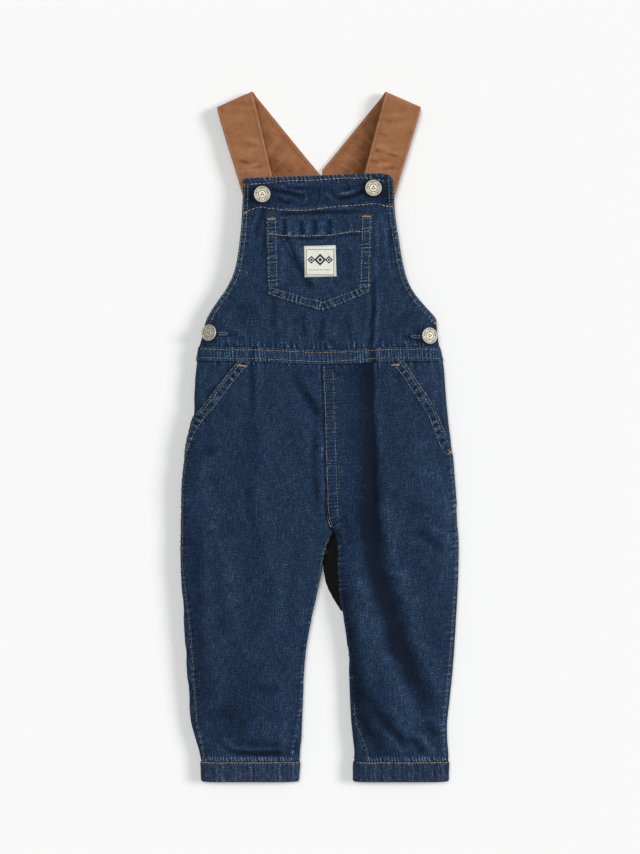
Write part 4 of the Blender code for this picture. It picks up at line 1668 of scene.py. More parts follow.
LEFT_CREASES = table(
    Pleat,
    (
        (51, 76, 51.8, 39, 53, 10, 54, -12, 54.4, -40, 55.6, -66, 59, -90, 64, -112, 68, -130), 2.6, 12, 0.5,
        0.72, (0.02, 0.35)
    )
) + table(
    Crease,
    (
        (46, -40, 46.5, -70, 48.5, -100, 56, -130, 68, -172, 77.8, -202, 88, -228, 97, -248, 107.5, -272),
        -1.2, 9.2, 0.86, (0.25, 0.25)
    ),
    ((55.8, 62, 56.6, 40, 57, 10, 58, -20), 0.3, 4, 0.11),
    ((24, -75, 36, -120, 52, -180, 68, -222, 86, -258, 106, -290), 1.2, 8, 0.1),
    ((20, -135, 24, -172, 31, -215, 37, -250, 42, -285), -1.2, 7, 0.42, (0.2, 0.2)),
    ((40, -214, 45, -240, 52, -264, 58, -286, 62, -303), -0.6, 14, 0.34, (0.35, 0.02)),
    ((38, -236, 50, -254, 66, -276, 84, -297), -1.4, 5.5, 0.26, (0.4, 0.15)),
    ((36, -262, 48, -281, 60, -300), -1.1, 5, 0.22, (0.3, 0.15)),
    ((56, -272, 70, -288, 80, -303), 0.8, 3.2, 0.2), ((82, -284, 92, -293, 100, -303), -1.2, 4, 0.34),
    ((100, -268, 108, -279, 114, -285), -0.8, 4.5, 0.3), ((92, -278, 104, -292, 112, -303), 0.5, 4, 0.14),
    ((84, -62, 92, -67, 99, -76), -0.6, 7, 0.16), ((88, -84, 98, -92, 112, -103, 126, -110), -0.6, 5, 0.2),
    ((88, 20, 96, -20, 100, -70), 0.5, 12, 0.1), ((116, -20, 122, -70, 122, -150), 0.4, 8, 0.16),
    ((17, -70, 26, -88, 32, -112), -0.7, 4.5, 0.14), ((30, 60, 34, 30, 36, 0, 34, -50), 0.4, 7, 0.05),
    ((70, 66, 76, 52, 80, 38), -0.5, 4.5, 0.1), ((8, 74, 14, 66, 24, 58), -0.5, 4, 0.12)
) + table(
    Dimple, (72, -112, 22, 0, -0.05), (101, -192, 26, 0, -0.1), (13, -65, 4.5, 0, -0.16),
    (101, 37, 4, 0, -0.14)
)
BIB_CREASES = table(
    Crease, ((-64, 233, -30, 231, 30, 233, 62, 236), -0.02, 11, 0.2, (0.02, 0.02)),
    ((-47, 236, -38, 232.5, -28, 232, -20, 229.5, -8, 228.5), -0.9, 2.2, 0.28, (0.1, 0.4)),
    ((-36, 238, -26, 236.5, -12, 236), -0.6, 1.7, 0.24),
    ((11, 226.3, 26, 227, 38, 231, 44, 234), -0.8, 2.2, 0.28, (0.35, 0.1)),
    ((4, 233.5, 9, 229, 14, 223), 0.6, 2.4, 0.12), ((18, 232, 26, 231, 34, 235), 0.5, 2, 0.08),
    ((-42, 228, -32, 222.5, -22, 223), -0.6, 2, 0.2), ((-14, 233, -13, 226, -16, 220), 0.4, 1.6, 0.08),
    ((-2, 238, -1, 228, -3, 219), -0.4, 1.4, 0.18), ((-44, 239, -10, 240.5, 34, 241.5), 0.1, 2.6, 0.12),
    ((24, 243, 27, 238, 28, 233), -0.5, 1.5, 0.2), ((-28, 217.5, -26, 224), 0.3, 1.6, 0.08),
    ((-38, 212.3, 0, 212.6, 38, 214.3), -0.6, 2, 0.24, (0.1, 0.1)),
    ((-49, 226, -56, 205, -63, 183), -0.7, 3.2, 0.24), ((-55, 222, -61, 205, -67, 192), 0.5, 2.8, 0.1),
    ((-50, 208, -53, 190, -54, 165), -0.4, 2.4, 0.18), ((58, 214, 61, 200, 63, 180, 62, 160), 0.5, 3.4, 0.14),
    ((51.5, 160, 51, 138, 50.2, 112, 48.6, 88), -0.9, 2.4, 0.3, (0.5, 0.02)),
    ((54.5, 212, 54.8, 190, 54, 165, 53.5, 145), 0.4, 2.4, 0.14),
    ((66, 212, 68, 196, 66, 176), -0.5, 2.8, 0.16), ((-43, 138, -44, 118, -43, 94), -0.5, 3.6, 0.18),
    ((-16, 121, -15, 108, -13, 94), -0.5, 3.2, 0.18), ((4, 116, 2, 104, -1, 92), -0.5, 3.2, 0.18),
    ((24, 118, 27, 106, 28, 92), -0.4, 3.2, 0.12), ((14, 112, 15, 102, 14, 92), 0.4, 3.4, 0.1),
    ((-28, 118, -29, 106, -28, 92), 0.4, 3.4, 0.1), ((-78, 128, -71, 123, -64, 112), -0.5, 10, 0.1),
    ((-96, 118, -84, 106, -74, 94), 0.4, 5, 0.06), ((88, 122, 76, 108, 66, 94), -0.5, 5, 0.1),
    ((66, 150, 76, 128, 84, 108), 0.5, 6, 0.06), ((-74, 96, -84, 97, -99, 98), -0.5, 3, 0.2),
    ((98, 94, 86, 95, 76, 97), -0.5, 3, 0.2)
) + table(
    Dimple, (-54.3, 230, 11, 0.9, -0.32), (51.1, 235.9, 11, 0.9, -0.3), (-66.5, 228, 6.5, 0.3, -0.42),
    (-58, 225, 13, 0, -0.14), (64.5, 230, 7.5, 0.3, -0.44), (54, 228, 12, 0, -0.14), (-52, 198, 12, 0, 0.09),
    (63, 199, 13, 0, 0.12), (-101, 97, 9, 0.6, -0.24), (100, 95, 9, 0.6, -0.24)
)
POCKET_CREASES = table(
    Crease, ((-36, 191, -30, 182, -24.5, 172, -16, 153, -6, 139), -1.3, 3.8, 0.42, (0.05, 0.15)),
    ((-42, 189.5, -20, 188, 0, 188.4, 12, 189.5), -0.5, 1.6, 0.34, (0.1, 0.2)),
    ((10, 189.5, 28, 191.5, 44, 192.4), -0.4, 1.5, 0.26),
    ((-34, 207, -33, 199, -34, 191), -0.8, 2.3, 0.4, (0.1, 0.1)),
    ((-18, 206, -17, 199, -16, 191), -0.8, 2.2, 0.36, (0.1, 0.1)),
    ((-5, 206, -4, 199, -5, 191), -0.7, 2.2, 0.32, (0.1, 0.1)),
    ((10, 207, 10, 199, 9, 191), -0.7, 2.2, 0.32, (0.1, 0.1)),
    ((24, 207, 25, 200, 24, 193), -0.4, 2.4, 0.2, (0.1, 0.1)),
    ((-11, 206, -10.5, 199, -10.5, 191), 0.3, 2, 0.14), ((3, 206, 3, 199, 2, 191), 0.3, 2, 0.14),
    ((24, 186, 28, 165, 26, 142), -0.4, 5, 0.12), ((-34, 180, -36, 160, -34, 140), 0.4, 3.6, 0.08),
    ((-20, 184, -14, 168, -12, 150), 0.3, 4, 0.08)
) + table(Dimple, (0, 165, 80, 0, 0.07), (0, 125, 6, 0.2, -0.2))
BAND_CREASES = table(
    Crease, ((48, 92, 50, 80, 52, 66), -1.5, 3, 0.3, (0.05, 0.05)),
    ((-62, 90, -63, 80, -64, 66), -1, 3, 0.2, (0.05, 0.05))
)
RIGHT_STRAP_FRONT = table(
    Crease, ((-78, 262.5, -72, 261.6, -65, 259.6), -0.4, 1.6, 0.24),
    ((-75, 257.5, -66, 256.8, -56, 259.5), 0.4, 2, 0.2),
    ((-67, 254.6, -60, 256.5, -53.5, 258), -0.3, 1.4, 0.2),
    ((-73, 279, -64, 278, -58, 276.5), -0.25, 2.2, 0.14), ((-85, 298, -78, 296, -70, 297), -0.25, 3, 0.1),
    ((-80, 270, -70, 269, -60, 270), 0.3, 3.4, 0.14)
)
RIGHT_STRAP_BACK = table(
    Crease, ((-56, 295, -51, 288, -44, 282), 0.3, 4, -0.4), ((-24, 259, -18, 255, -13, 252), 0.4, 1.8, -0.44),
    ((-50, 301, -46.5, 298, -42, 293), -0.2, 1.6, -0.2), ((-40, 274, -34, 270, -27, 268), 0.2, 3.2, -0.16)
) + table(Dimple, (-38, 256, 9, 0.3, -0.38), (-57, 315, 6, 0.2, -0.3))
LEFT_STRAP_FRONT = table(
    Crease, ((62, 269.5, 68.6, 268, 76, 266.6), -0.4, 1.5, 0.3),
    ((47, 265, 51, 262, 56, 260.5), -0.35, 1.5, 0.3), ((55.6, 289.3, 60, 287, 66, 285.7), -0.3, 2, 0.18),
    ((52, 277, 60, 276, 70, 273), 0.3, 3, 0.16), ((52, 257, 60, 259, 68, 258), 0.35, 2.4, 0.22),
    ((58, 254.5, 66, 255.5, 73, 256), -0.35, 2, 0.26), ((60, 300, 72, 299, 82, 301), -0.25, 3, 0.12)
) + table(Dimple, (55, 272.5, 2, 0.3, -0.34), (74, 290, 14, 0, 0.14))
LEFT_STRAP_BACK = table(
    Crease, ((24, 273, 28.5, 269, 35, 265), 0.4, 1.8, -0.36),
    ((16, 262, 22, 259.5, 29, 256), 0.4, 1.7, -0.36), ((31, 284, 36, 281.5, 41, 278), 0.3, 1.8, -0.26),
    ((15, 270, 21, 266, 30, 260), -0.3, 2.2, -0.2)
)
BIB_UPPER_STITCH = (
    (-68.1, 239.6), (-59.4, 240.4), (-49.1, 241.2), (-35.6, 242.4), (-20, 243.4), (4, 244), (12.6, 245),
    (35.6, 245.6), (48, 245.2), (56, 244.2), (62, 242.6)
)
BIB_FACING_STITCH = (
    (-72, 212.2), (-64, 216), (-53.9, 218.2), (-49, 217.2), (6, 217.2), (12.6, 218.2), (40.4, 220.2),
    (56.2, 221), (64, 218.9), (70.8, 218.7)
)
BAND_UPPER = ((-115, 83.6), (-83, 82.9), (-45, 83.4), (2.4, 83.2), (60, 83.4), (114, 83))
BAND_LOWER = ((-116, 75.2), (-79, 74.6), (-50, 75), (2.4, 74.8), (60, 75.6), (116, 74.6))
POCKET_HEM_STITCH = ((-48, 192.6), (-30, 190.8), (-12, 190.5), (10, 191.6), (30, 194.2), (47.5, 195.2))


# The garment's surface.


def fold_height(x: Array, y: Array) -> Array:
    """Height that the large soft folds add.

    Args:
        x: Places across.
        y: Places along.

    Returns:
        Millimetres at each place.
    """
    total = np.zeros(np.broadcast(x, y).shape)
    for fold in FOLDS:
        run = fold.x1 - fold.x0, fold.y1 - fold.y0
        square = run[0] ** 2 + run[1] ** 2
        t = np.clip(((x - fold.x0) * run[0] + (y - fold.y0) * run[1]) / square, 0, 1)
        away = np.hypot(x - fold.x0 - run[0] * t, y - fold.y0 - run[1] * t)
        total = total + fold.depth * bell(away, fold.width)
    return total


def bulge(depth: Array, width: Array) -> Array:
    """How far a laid tube has risen at this depth in from its edge, from 0 to 1."""
    left = 1 - np.clip(depth / width, 0, 1)
    return np.sqrt(1 - left * left)


def resample(section: Array, count: int, closed: bool = False) -> Array:
    """Spreads points evenly along a section.

    Args:
        section: Its (x, z) points.
        count: How many to spread.
        closed: Whether it is a ring.

    Returns:
        The even points.
    """
    if closed:
        section = np.concatenate([section, section[:1]])
    run = distances(section)
    even = np.linspace(0, run[-1], count + 1)[:-1] if closed else np.linspace(0, run[-1], count)
    return np.stack([np.interp(even, run, section[:, k]) for k in (0, 1)], axis=-1)


def sections_grid(ys: Array, section: Callable[[float], Array], count: int, closed: bool = False) -> Array:
    """A grid of points from sections at each y.

    Args:
        ys: Where the sections are.
        section: Gives a section's (x, z) points at a y.
        count: Points in each row.
        closed: Whether a section is a ring.

    Returns:
        Points of shape (len(ys), count, 3).
    """
    rows = []
    for y in ys:
        line = resample(section(float(y)), count, closed)
        rows.append(np.stack([line[:, 0], np.full(count, y), line[:, 1]], axis=-1))
    return np.array(rows)


@dataclass
class Leg:
    """One leg: its front and back panels, hip panel, hem and sewing."""

    side: str
    rows: tuple[LegRow, ...]
    mouth_rows: tuple[MouthRow, ...]
    sewing: Sewing
    creases: tuple[Fall, ...]
    step: float = 1.0
    back_step: float = 2.6
    hip_underlap: float = 6.4

    TOP, LOW = WAIST_BOTTOM - SEAM_GAP, HEM_TOP + SEAM_GAP
    EDGE_POINTS = 70
    RING_POINTS = 120
    CROTCH_ROWS = (
        (-86, 6, 18.5), (-96, 2.6, 20), (-108, 2.5, 20.5), (-118, 2.9, 20.5), (-128, 3.8, 20.6),
        (-138, 5.6, 21), (-146, 8.6, 21.6), (-154, 12.8, 22.4), (-160, 16.4, 23.2), (-166, 20, 24)
    )

    def __post_init__(self) -> None:
        """Reads the tables and lays out the seams."""
        self.track = Track(self.rows)
        self.mouth = Track(self.mouth_rows)
        self.mouth_end = self.mouth_rows[-1].y
        self.inward = 1 if self.rows[0].out < 0 else -1
        self.seams = self._seams()
        self.relief = layered(tuple(self.seams.values()), self.creases, seed=self._pick(11, 23))
        self.face = Face(self.height, self.relief)

    def _pick(self, right: float, left: float) -> float:
        """The value for this side."""
        return right if self.inward > 0 else left

    def height(self, x: Array, y: Array, sink: float = 0.0) -> Array:
        """Height of the front panel's outer face.

        Args:
            x: Places in plan.
            y: Places in plan.
            sink: How far it lies lower, away from the side seam.

        Returns:
            Heights in millimetres.
        """
        t = self.track
        crown, seam = t("crown", y), t("seam", y)
        reach = TOP_SPREAD * (crown - seam)
        split = smooth(y, CROTCH + 46, CROTCH)
        depth = np.abs(t("inner", y) - x)
        lower = sink * smooth(np.abs(x - t("out", y)) - t("side_in", y), 0, SINK_RAMP)
        share = bulge(np.abs(x - t("out", y)), reach)
        share = share * (1 - split * (1 - bulge(depth, reach)))
        fly = FLY_RAISE * smooth(depth, FLY_WIDTH + 1, FLY_WIDTH - 1) * (1 - split)
        fly = self._pick(0.0, fly)
        return seam + (crown - lower - seam + fold_height(x, y) + fly) * share

    def underside(self, x: Array, y: Array) -> Array:
        """Height of the back panel's outer face.

        Args:
            x: Places across.
            y: Places along.

        Returns:
            Heights in millimetres.
        """
        t = self.track
        reach = UNDER_SPREAD * t("seam", y)
        split = smooth(y, CROTCH + 16, CROTCH)
        share = bulge(np.abs(x - t("out", y)), reach)
        share = share * (1 - split * (1 - bulge(np.abs(t("inner", y) - x), reach)))
        return t("seam", y) * (1 - share)

    def edge(self, y: float, w: Array, inner: bool, sink: float = 0.0) -> Array:
        """Points (x, z) round the silhouette.

        Args:
            y: Where the section is.
            w: From 1 on the upper face through 0 at the silhouette to -1 under it.
            inner: Whether it is the inseam's side.
            sink: How far the upper face lies lower.

        Returns:
            One point for each w.
        """
        t = self.track
        rise = t("crown", y) - t("seam", y)
        reach = np.where(w > 0, TOP_SPREAD * rise, UNDER_SPREAD * t("seam", y))
        if inner:
            x = t("inner", y) - self.inward * (SEAM_GAP / 2 + reach * w * w)
        else:
            x = t("out", y) + self.inward * reach * w * w
        z = np.where(w >= 0, self.height(x, y, sink), self.underside(x, y))
        return np.stack([x, z], axis=-1)

    def edge_at(self, y: float, depth: float, gap: float = 0.0) -> float:
        """The edge's w that far in on the upper face.

        Args:
            y: Where the section is.
            depth: Distance in from the silhouette.
            gap: How far it is then moved along the cloth.

        Returns:
            The w for the method "edge".
        """
        rise = self.track("crown", y) - self.track("seam", y)
        reach = TOP_SPREAD * rise
        w = math.sqrt(depth / reach) if depth > 0.05 else 0.0
        rise = rise if gap >= 0 or w > 0.05 else self.track("seam", y)
        return w + gap / math.hypot(2 * reach * w, math.sqrt(2) * rise)

    def _between(self, y: float, start: Array, end: Array, height: Height, count: int) -> Array:
        """Points (x, z) strictly between the last of one run and the first of another."""
        xs = np.linspace(start[-1, 0], end[0, 0], count)[1:-1]
        return np.stack([xs, height(xs, y)], axis=-1)

    def panel_section(self, y: float, front: bool) -> Array:
        """A panel's section, from the side seam to the inseam.

        Args:
            y: Where it is.
            front: Whether it is the front panel.

        Returns:
            Its (x, z) points.
        """
        way, inset = 1 if front else -1, self.track("side_in", y)
        if front and y > self.mouth_end:
            inset = max(inset, self.mouth("inset", y))
        start = self.edge_at(y, inset, way * SEAM_GAP / 2)
        end = self.edge_at(y, self.track("inseam_in", y), way * SEAM_GAP / 2)
        turn = max(start + 0.1, 1) if front else -1
        outer = self.edge(y, np.linspace(start, turn, self.EDGE_POINTS), False)
        inner = self.edge(y, np.linspace(way, end, self.EDGE_POINTS), True)
        height, count = (self.height, 40) if front else (self.underside, 12)
        return np.concatenate([outer, self._between(y, outer, inner, height, count), inner])

    def hip_section(self, y: float) -> Array:
        """The hip panel's section, one layer lower than the front panel.

        Args:
            y: Where it is.

        Returns:
            Its (x, z) points.
        """
        inset = self.mouth("inset", y)
        underlap = self.hip_underlap * float(smooth(inset, 14, 20)) - 2 * SEAM_GAP
        start = self.edge_at(y, self.track("side_in", y), SEAM_GAP / 2)
        end = max(self.edge_at(y, inset + underlap), start + 0.06)
        return self.edge(y, np.linspace(start, end, 60), False, DENIM + 3 * SEAM_GAP)

    def hem_section(self, y: float) -> Array:
        """The hem's section, all round.

        Args:
            y: Where it is.

        Returns:
            Its (x, z) points.
        """
        outer = self.edge(y, np.linspace(-1, 1, self.RING_POINTS), False)
        inner = self.edge(y, np.linspace(1, -1, self.RING_POINTS), True)
        top = self._between(y, outer, inner, self.height, 30)
        return np.concatenate([outer, top, inner, self._between(y, inner, outer, self.underside, 20)])

    def _outline(self, column: str, inset: Callable, ys: Sequence[float]) -> list[tuple]:
        """Plan points at a distance in from a silhouette column."""
        sign = self.inward if column == "out" else -self.inward
        return [(self.track(column, y) + sign * inset(y), y) for y in ys]

    def _seams(self) -> dict[str, Seam]:
        """Lays out the front panel's seams.

        Returns:
            The seams by name, in the order in which they are sewn.
        """
        middle = 60 * -self.inward
        ys = np.linspace(79, self.mouth_end + 2, 13)
        mouth = Line(self._outline("out", lambda y: self.mouth("inset", y), ys), (middle, -40))
        ys = np.linspace(self.mouth_end - 4, HEM_TOP + 1, 26)
        side = Line(self._outline("out", lambda y: self.track("side_in", y), ys), (middle, -200))
        ys = np.linspace(CROTCH - 6, HEM_TOP + 1, 20)
        inseam = Line(self._outline("inner", lambda y: self.track("inseam_in", y), ys), (middle, -200))
        ys = np.linspace(70, CROTCH + 4, 14)
        centre = Line([(self.track("inner", y), y) for y in ys], (200, 0))
        ends = sorted((self.track("out", 71), 2.4))
        waist = Line([(x, 71.4) for x in ends], (middle, 0))
        ends = sorted((self.track("out", -308), self.track("inner", -308)))
        hem = Line([(x, HEM_TOP) for x in ends], (middle, -200))
        slate, brass = Thread.SLATE, Thread.BRASS
        rows = Row(0.9, slate, 0.1), Row(3.3, slate, 0.08), Row(9, slate, 0.02)
        side_row = Row(2.2, brass, strength=0.6, pitch=2.7)
        inseam_row = Row(2, slate, 0.74, 1, 0.5, 2.9)
        seams = {
            "mouth": Seam(mouth, 0, 9.8, 0.5, 0.12, 4.8, 2, 0.08, rows, 31),
            "mouth_ribs": Seam(mouth, 4.2, 8, 0, 0.32, 8.2, 0.8, -0.16, (), 33, 0, 0.22, 0.7),
            "side": Seam(side, 0, 3.4, 0.3, 0.26, 5.5, 3, 0.08, (side_row,), 41),
            "inseam": Seam(inseam, 0, 3.2, 0.3, 0.22, 6, 3, 0.08, (inseam_row,), 43),
            "waist": Seam(waist, -3, 0, 0, 0.42, 5.8, 4.5, -0.04, (), 47),
            "hem": Seam(hem, -0.5, 4.4, 0, 0.46, 2.8, 1.2, 0.28, (), 53, 0.5, 0.24, 0.7)
        }
        if self.inward > 0:
            points = (-109.7, 17.1), (-114.5, 10.5), (-118.3, 4.8), (-121.8, -3), (-124.2, -11)
            tail = Line(points, (-140, 5))
            # A sunk strip beside the fly's edge, painted dark as painted shade.
            seams["fly"] = Seam(centre, -1.8, 0, -0.3, 0.1, 6, 4, -0.45, (), 61)
            seams["tail"] = Seam(tail, -0.8, 9, 0.45, 0.3, 7, 1.5, 0.03, (Row(0, slate),), 63, ribs=0.2)
            return seams
        rows = Row(1.4, slate, 0, 1, 1.4, 2.2), Row(FLY_WIDTH - 0.3, slate, 0.02, 0.97, 0.8, 2.4)
        wide = FLY_WIDTH + 1.0
        seams["fly"] = Seam(centre, 0, wide, 0, 0.24, 3.4, 1.4, -0.03, rows, 59, 0.05, 0.15, 0.75)
        return seams

    def build(self) -> list[Piece]:
        """Makes the leg's pieces and sews them.

        Returns:
            The pieces, without their stitches.
        """
        ys = np.linspace(self.TOP, self.LOW, int((self.TOP - self.LOW) / self.step))
        grid = sections_grid(ys, lambda y: self.panel_section(y, True), 149)
        cut = Cut(150, 386, self._pick(0.82, 0.73), (f"back_leg_{self.side}",))
        name, node = f"front_leg_cloth_{self.side}", f"front_leg_{self.side}"
        made = [ClothShell(name, node, grid, DENIM, self.relief, cut).build()]
        made += [self._back(), self._hip(), self._hem()]
        for seam in self.seams.values():
            self.sewing.seam(self.face, seam)
        if self.inward < 0:
            made.append(self._crotch())
        return made

    def _crotch(self) -> Piece:
        """Makes the back panel's low corner between the legs, near black as painted shadow; its lower part is a dark
        sheet that stands only for the shadow there.

        Returns:
            The piece.
        """
        rows = np.array(self.CROTCH_ROWS)
        ys = np.linspace(rows[0, 0], rows[-1, 0], 56)
        left, right = (np.interp(-ys, -rows[:, 0], rows[:, k]) for k in (1, 2))
        across = np.linspace(0, 1, 22)[None, :]
        x = left[:, None] * (1 - across) + right[:, None] * across
        z = 1.6 + 1.3 * np.sin(math.pi * across) * np.ones_like(x)
        grid = np.stack([x, np.repeat(ys[:, None], 22, 1), z], axis=-1)

        def relief(px: Array, py: Array) -> Pair:
            """Painted shade all over, darkest beside the left leg."""
            return 0.2 * crumple(px, py, 14, 83), -0.72 - 0.2 * smooth(px, 5, 16)

        cut = Cut(18, 80, 0.75)
        piece = ClothShell("crotch_cloth", "", grid, 1.2, relief, cut, finish=Finish.DENIM_SHADE).build()
        face = Face(lambda px, py: np.full(np.shape(px), 2.6), relief)
        self.sewing.run(face, Line(((6.6, -98), (6.4, -112))), Row(0, Thread.BRASS, pitch=2.6), 0, 14)
        return piece

    def _back(self) -> Piece:
        """Makes the back panel, flat where it rests.

        Returns:
            The piece.
        """
        first = BACK_WAIST - SEAM_GAP
        ys = np.linspace(first, self.LOW, int((first - self.LOW) / self.back_step))
        grid = sections_grid(ys, lambda y: self.panel_section(y, False), 76)
        cut = Cut(165, 392, self._pick(0.8, 0.73))
        name, node = f"back_leg_cloth_{self.side}", f"back_leg_{self.side}"
        relief = dented(0.9, 42, self._pick(71, 73))
        return ClothShell(name, node, grid, DENIM, relief, cut, Side.DOWN).build()

    def _hip(self) -> Piece:
        """Makes the cloth inside the pocket's mouth.

        Returns:
            The piece.
        """
        low = self.mouth_end + self._pick(4, 8)
        lighter = Dimple(113 * -self.inward, 40, 40, 0.0, 0.14)
        relief = layered((self.seams["waist"],), (lighter,), seed=81)
        grid = sections_grid(np.linspace(self.TOP, low, 50), self.hip_section, 40)
        name, node = f"hip_cloth_{self.side}", f"hip_panel_{self.side}"
        return ClothShell(name, node, grid, DENIM, relief, Cut(50, 72, 0.42)).build()

    def _hem(self) -> Piece:
        """Makes the turned-up hem, all round.

        Returns:
            The piece.
        """
        ends = sorted((self.track("out", -308), self.track("inner", -308)))
        line = Line([(x, HEM_TOP) for x in ends], (ends[0] + 10, HEM_BOTTOM))
        row = Row(0.9, Thread.AMBER, strength=1.35, pitch=2.7)
        seed, tone = self._pick(67, 68), self._pick(0.09, -0.01)
        seam = Seam(line, 0, 19.5, HEM_RAISE, 0.2, 14.5, 2, tone, (row,), seed, 0, 0.07)
        fine = Seam(line, 0, 19.5, 0, 0.12, 4.6, 2, 0, (), seed + 2, 0.02, 0.05)
        relief = layered((seam, fine), (), ((14, 0.12), (6, 0.05)), 91)
        grid = sections_grid(np.linspace(HEM_TOP, HEM_BOTTOM, 22), self.hem_section, 250, True)
        name, node, cut = f"hem_cloth_{self.side}", f"hem_{self.side}", Cut(205, 20)
        finish = Finish.DENIM_TRIM
        hem = ClothShell(name, node, grid, HEM_WALL, relief, cut, Side.ROUND, finish).build()
        self.sewing.run(Face(self.height, relief), line, row, 1.5, line.length - 1.5, 9)
        return hem


@dataclass
class Torso:
    """Everything from the waist up: band, bib, back bib, pocket and patch."""

    sewing: Sewing
    pocket_left: float = -50.6
    pocket_right: float = 49.6
    pocket_top: tuple[float, float] = (208.8, 211.4)
    pocket_side: tuple[float, float] = (134.8, 137.4)
    pocket_point: tuple[float, float] = (3.5, 118.8)
    pocket_taper: float = 1.8
    patch_middle: tuple[float, float] = (0.6, 166.5)
    patch_size: tuple[float, float] = (30.0, 29.5)
    patch_turn: float = math.radians(1.6)

    SLOPE = 0.035
    PATCH_POINTS = 40

    def __post_init__(self) -> None:
        """Reads the tables and lays out the seams."""
        self.front = Track(FRONT_BIB_ROWS)
        self.back = Track(BACK_BIB_ROWS)
        self.bib_seams = self._bib_seams()
        self.bib_face = Face(self.tilted_height, layered(self.bib_seams, BIB_CREASES, seed=103))

    @classmethod
    def tilt(cls, y: Array | float) -> Array:
        """How much rows slope across the garment near the bib's top edge."""
        return cls.SLOPE * smooth(y, 150, 244)

    def height(self, x: Array, y: Array) -> Array:
        """Height of the front's outer face above the waist, before the rows are tilted.

        Args:
            x: Places across.
            y: Places along.

        Returns:
            Heights in millimetres.
        """
        t = self.front
        crown, seam, hug = t("crown", y), t("seam", y), t("hug", y)
        reach = TOP_SPREAD * (crown - seam)
        share = 1 - hug * (1 - bulge(x - t("left", y), reach))
        share = share * (1 - hug * (1 - bulge(t("right", y) - x, reach)))
        return seam + (crown - seam + fold_height(x, y)) * share

    def tilted_height(self, x: Array, y: Array) -> Array:
        """Height of the front's outer face at a place in plan."""
        return self.height(x, y - self.tilt(y) * x)

    def pocket_height(self, x: Array, y: Array) -> Array:
        """Height of the pocket's outer face at a place in plan."""
        return self.tilted_height(x, y) + SEAM_GAP + POCKET_WALL

    def patch_height(self, x: Array, y: Array) -> Array:
        """Height of the patch's outer face at a place in plan."""
        return self.pocket_height(x, y) + SEAM_GAP + PATCH_WALL

    @staticmethod
    def _across(track: Track, y: float, reach: float, start: float, counts: tuple) -> Array:
        """x from edge to edge of a section, closer together where the cloth turns.

        Args:
            track: The front's or the back's table.
            y: Where the section is.
            reach: How far in the cloth turns.
            start: The first place's share of the turn.
            counts: Points in each turn and between them.

        Returns:
            The x values.
        """
        left, right = track("left", y), track("right", y)
        depth = reach * np.linspace(start, 1, counts[0]) ** 2
        middle = np.linspace(left + depth[-1], right - depth[-1], counts[1])[1:-1]
        return np.concatenate([left + depth, middle, (right - depth)[::-1]])

    def front_section(self, y: float) -> Array:
        """The front's section, before it is tilted.

        Args:
            y: Where it is.

        Returns:
            Its (x, z) points.
        """
        rise = self.front("crown", y) - self.front("seam", y)
        start = SEAM_GAP / 2 / (math.sqrt(2) * rise)
        xs = self._across(self.front, y, TOP_SPREAD * rise, start, (50, 60))
        return np.stack([xs, self.height(xs, y)], axis=-1)

    def back_section(self, y: float) -> Array:
        """The back's section.

        Args:
            y: Where it is.

        Returns:
            Its (x, z) points.
        """
        seam = self.back("seam", y)
        reach = UNDER_SPREAD * seam
        xs = self._across(self.back, y, reach, SEAM_GAP / 2 / (math.sqrt(2) * seam), (40, 40))
        left, right = self.back("left", y), self.back("right", y)
        share = bulge(xs - left, reach) * bulge(right - xs, reach)
        return np.stack([xs, seam * max(self.back("hug", y), 0) * (1 - share)], axis=-1)

    def _bib_side(self, column: str) -> Line:
        """Draws the line along one side of the bib.

        Args:
            column: The side's column in the table.

        Returns:
            The line.
        """
        ys = np.linspace(244, 111, 24)
        xs = [self.front(column, y) for y in ys]
        return Line([(x, y + float(self.tilt(y)) * x) for x, y in zip(xs, ys)], (0, 180))

    def _bib_seams(self) -> tuple[Seam, ...]:
        """Lays out the bib's turned edges, its facing, its plackets and the waist seam.

        Returns:
            The seams.
        """
        rows = Row(1.5, Thread.SLATE), Row(5, Thread.SLATE)
        row = (Row(0, Thread.GOLD, pitch=3.9),)
        left, right = (
            Seam(self._bib_side(column), 0, 5.8, 0.3, 0.22, 5.5, 2.5, 0.14, rows, seed)
            for column, seed in (("left", 107), ("right", 109))
        )
        top = Line([(x, 248.3 + self.SLOPE * x) for x in (-70, -35, 0, 35, 58)], (0, 200))
        upper, facing = Line(BIB_UPPER_STITCH, (0, 200)), Line(BIB_FACING_STITCH, (0, 300))
        return (
            left, right, Seam(top, 0, 4.2, 0.3, 0.18, 4.4, 2, 0.2, (), 113, 0.3, 0.2),
            Seam(upper, -0.5, 0.5, 0, 0.14, 6, 3.5, 0, row, 117),
            Seam(facing, -0.5, 1.5, 0.12, 0.16, 6.5, 4, 0, row, 119),
            Seam(Line(((-114.3, 86.4), (114, 86.4)), (0, 200)), 0, 2, 0, 0.36, 5.6, 5, 0, (), 123)
        )

    def build(self) -> list[Piece]:
        """Makes the pieces and sews them."""
        return [self._bib(), self._back_bib(), self._band(), self._pocket(), self._patch()]

    def _bib(self) -> Piece:
        """Makes the front bib.

        Returns:
            The piece.
        """
        low = WAIST_TOP + SEAM_GAP
        ys = np.concatenate([np.linspace(low, 240, 150), np.linspace(240.8, 248.3, 14)])
        grid = sections_grid(ys, self.front_section, 241)
        grid[..., 1] += self.tilt(grid[..., 1]) * grid[..., 0]
        relief, cut = self.bib_face.relief, Cut(240, 166, 0.73)
        bib = ClothShell("front_bib_cloth", "front_bib", grid, DENIM, relief, cut).build()
        for seam in self.bib_seams:
            self.sewing.seam(self.bib_face, seam)
        return bib

    def _back_bib(self) -> Piece:
        """Makes the back bib, flat on the floor.

        Returns:
            The piece.
        """
        grid = sections_grid(np.linspace(BACK_WAIST, 238, 66), self.back_section, 96)
        relief, cut = dented(0.8, 40, 131), Cut(245, 160, 0.65)
        return ClothShell("back_bib_cloth", "back_bib", grid, DENIM, relief, cut, Side.DOWN).build()

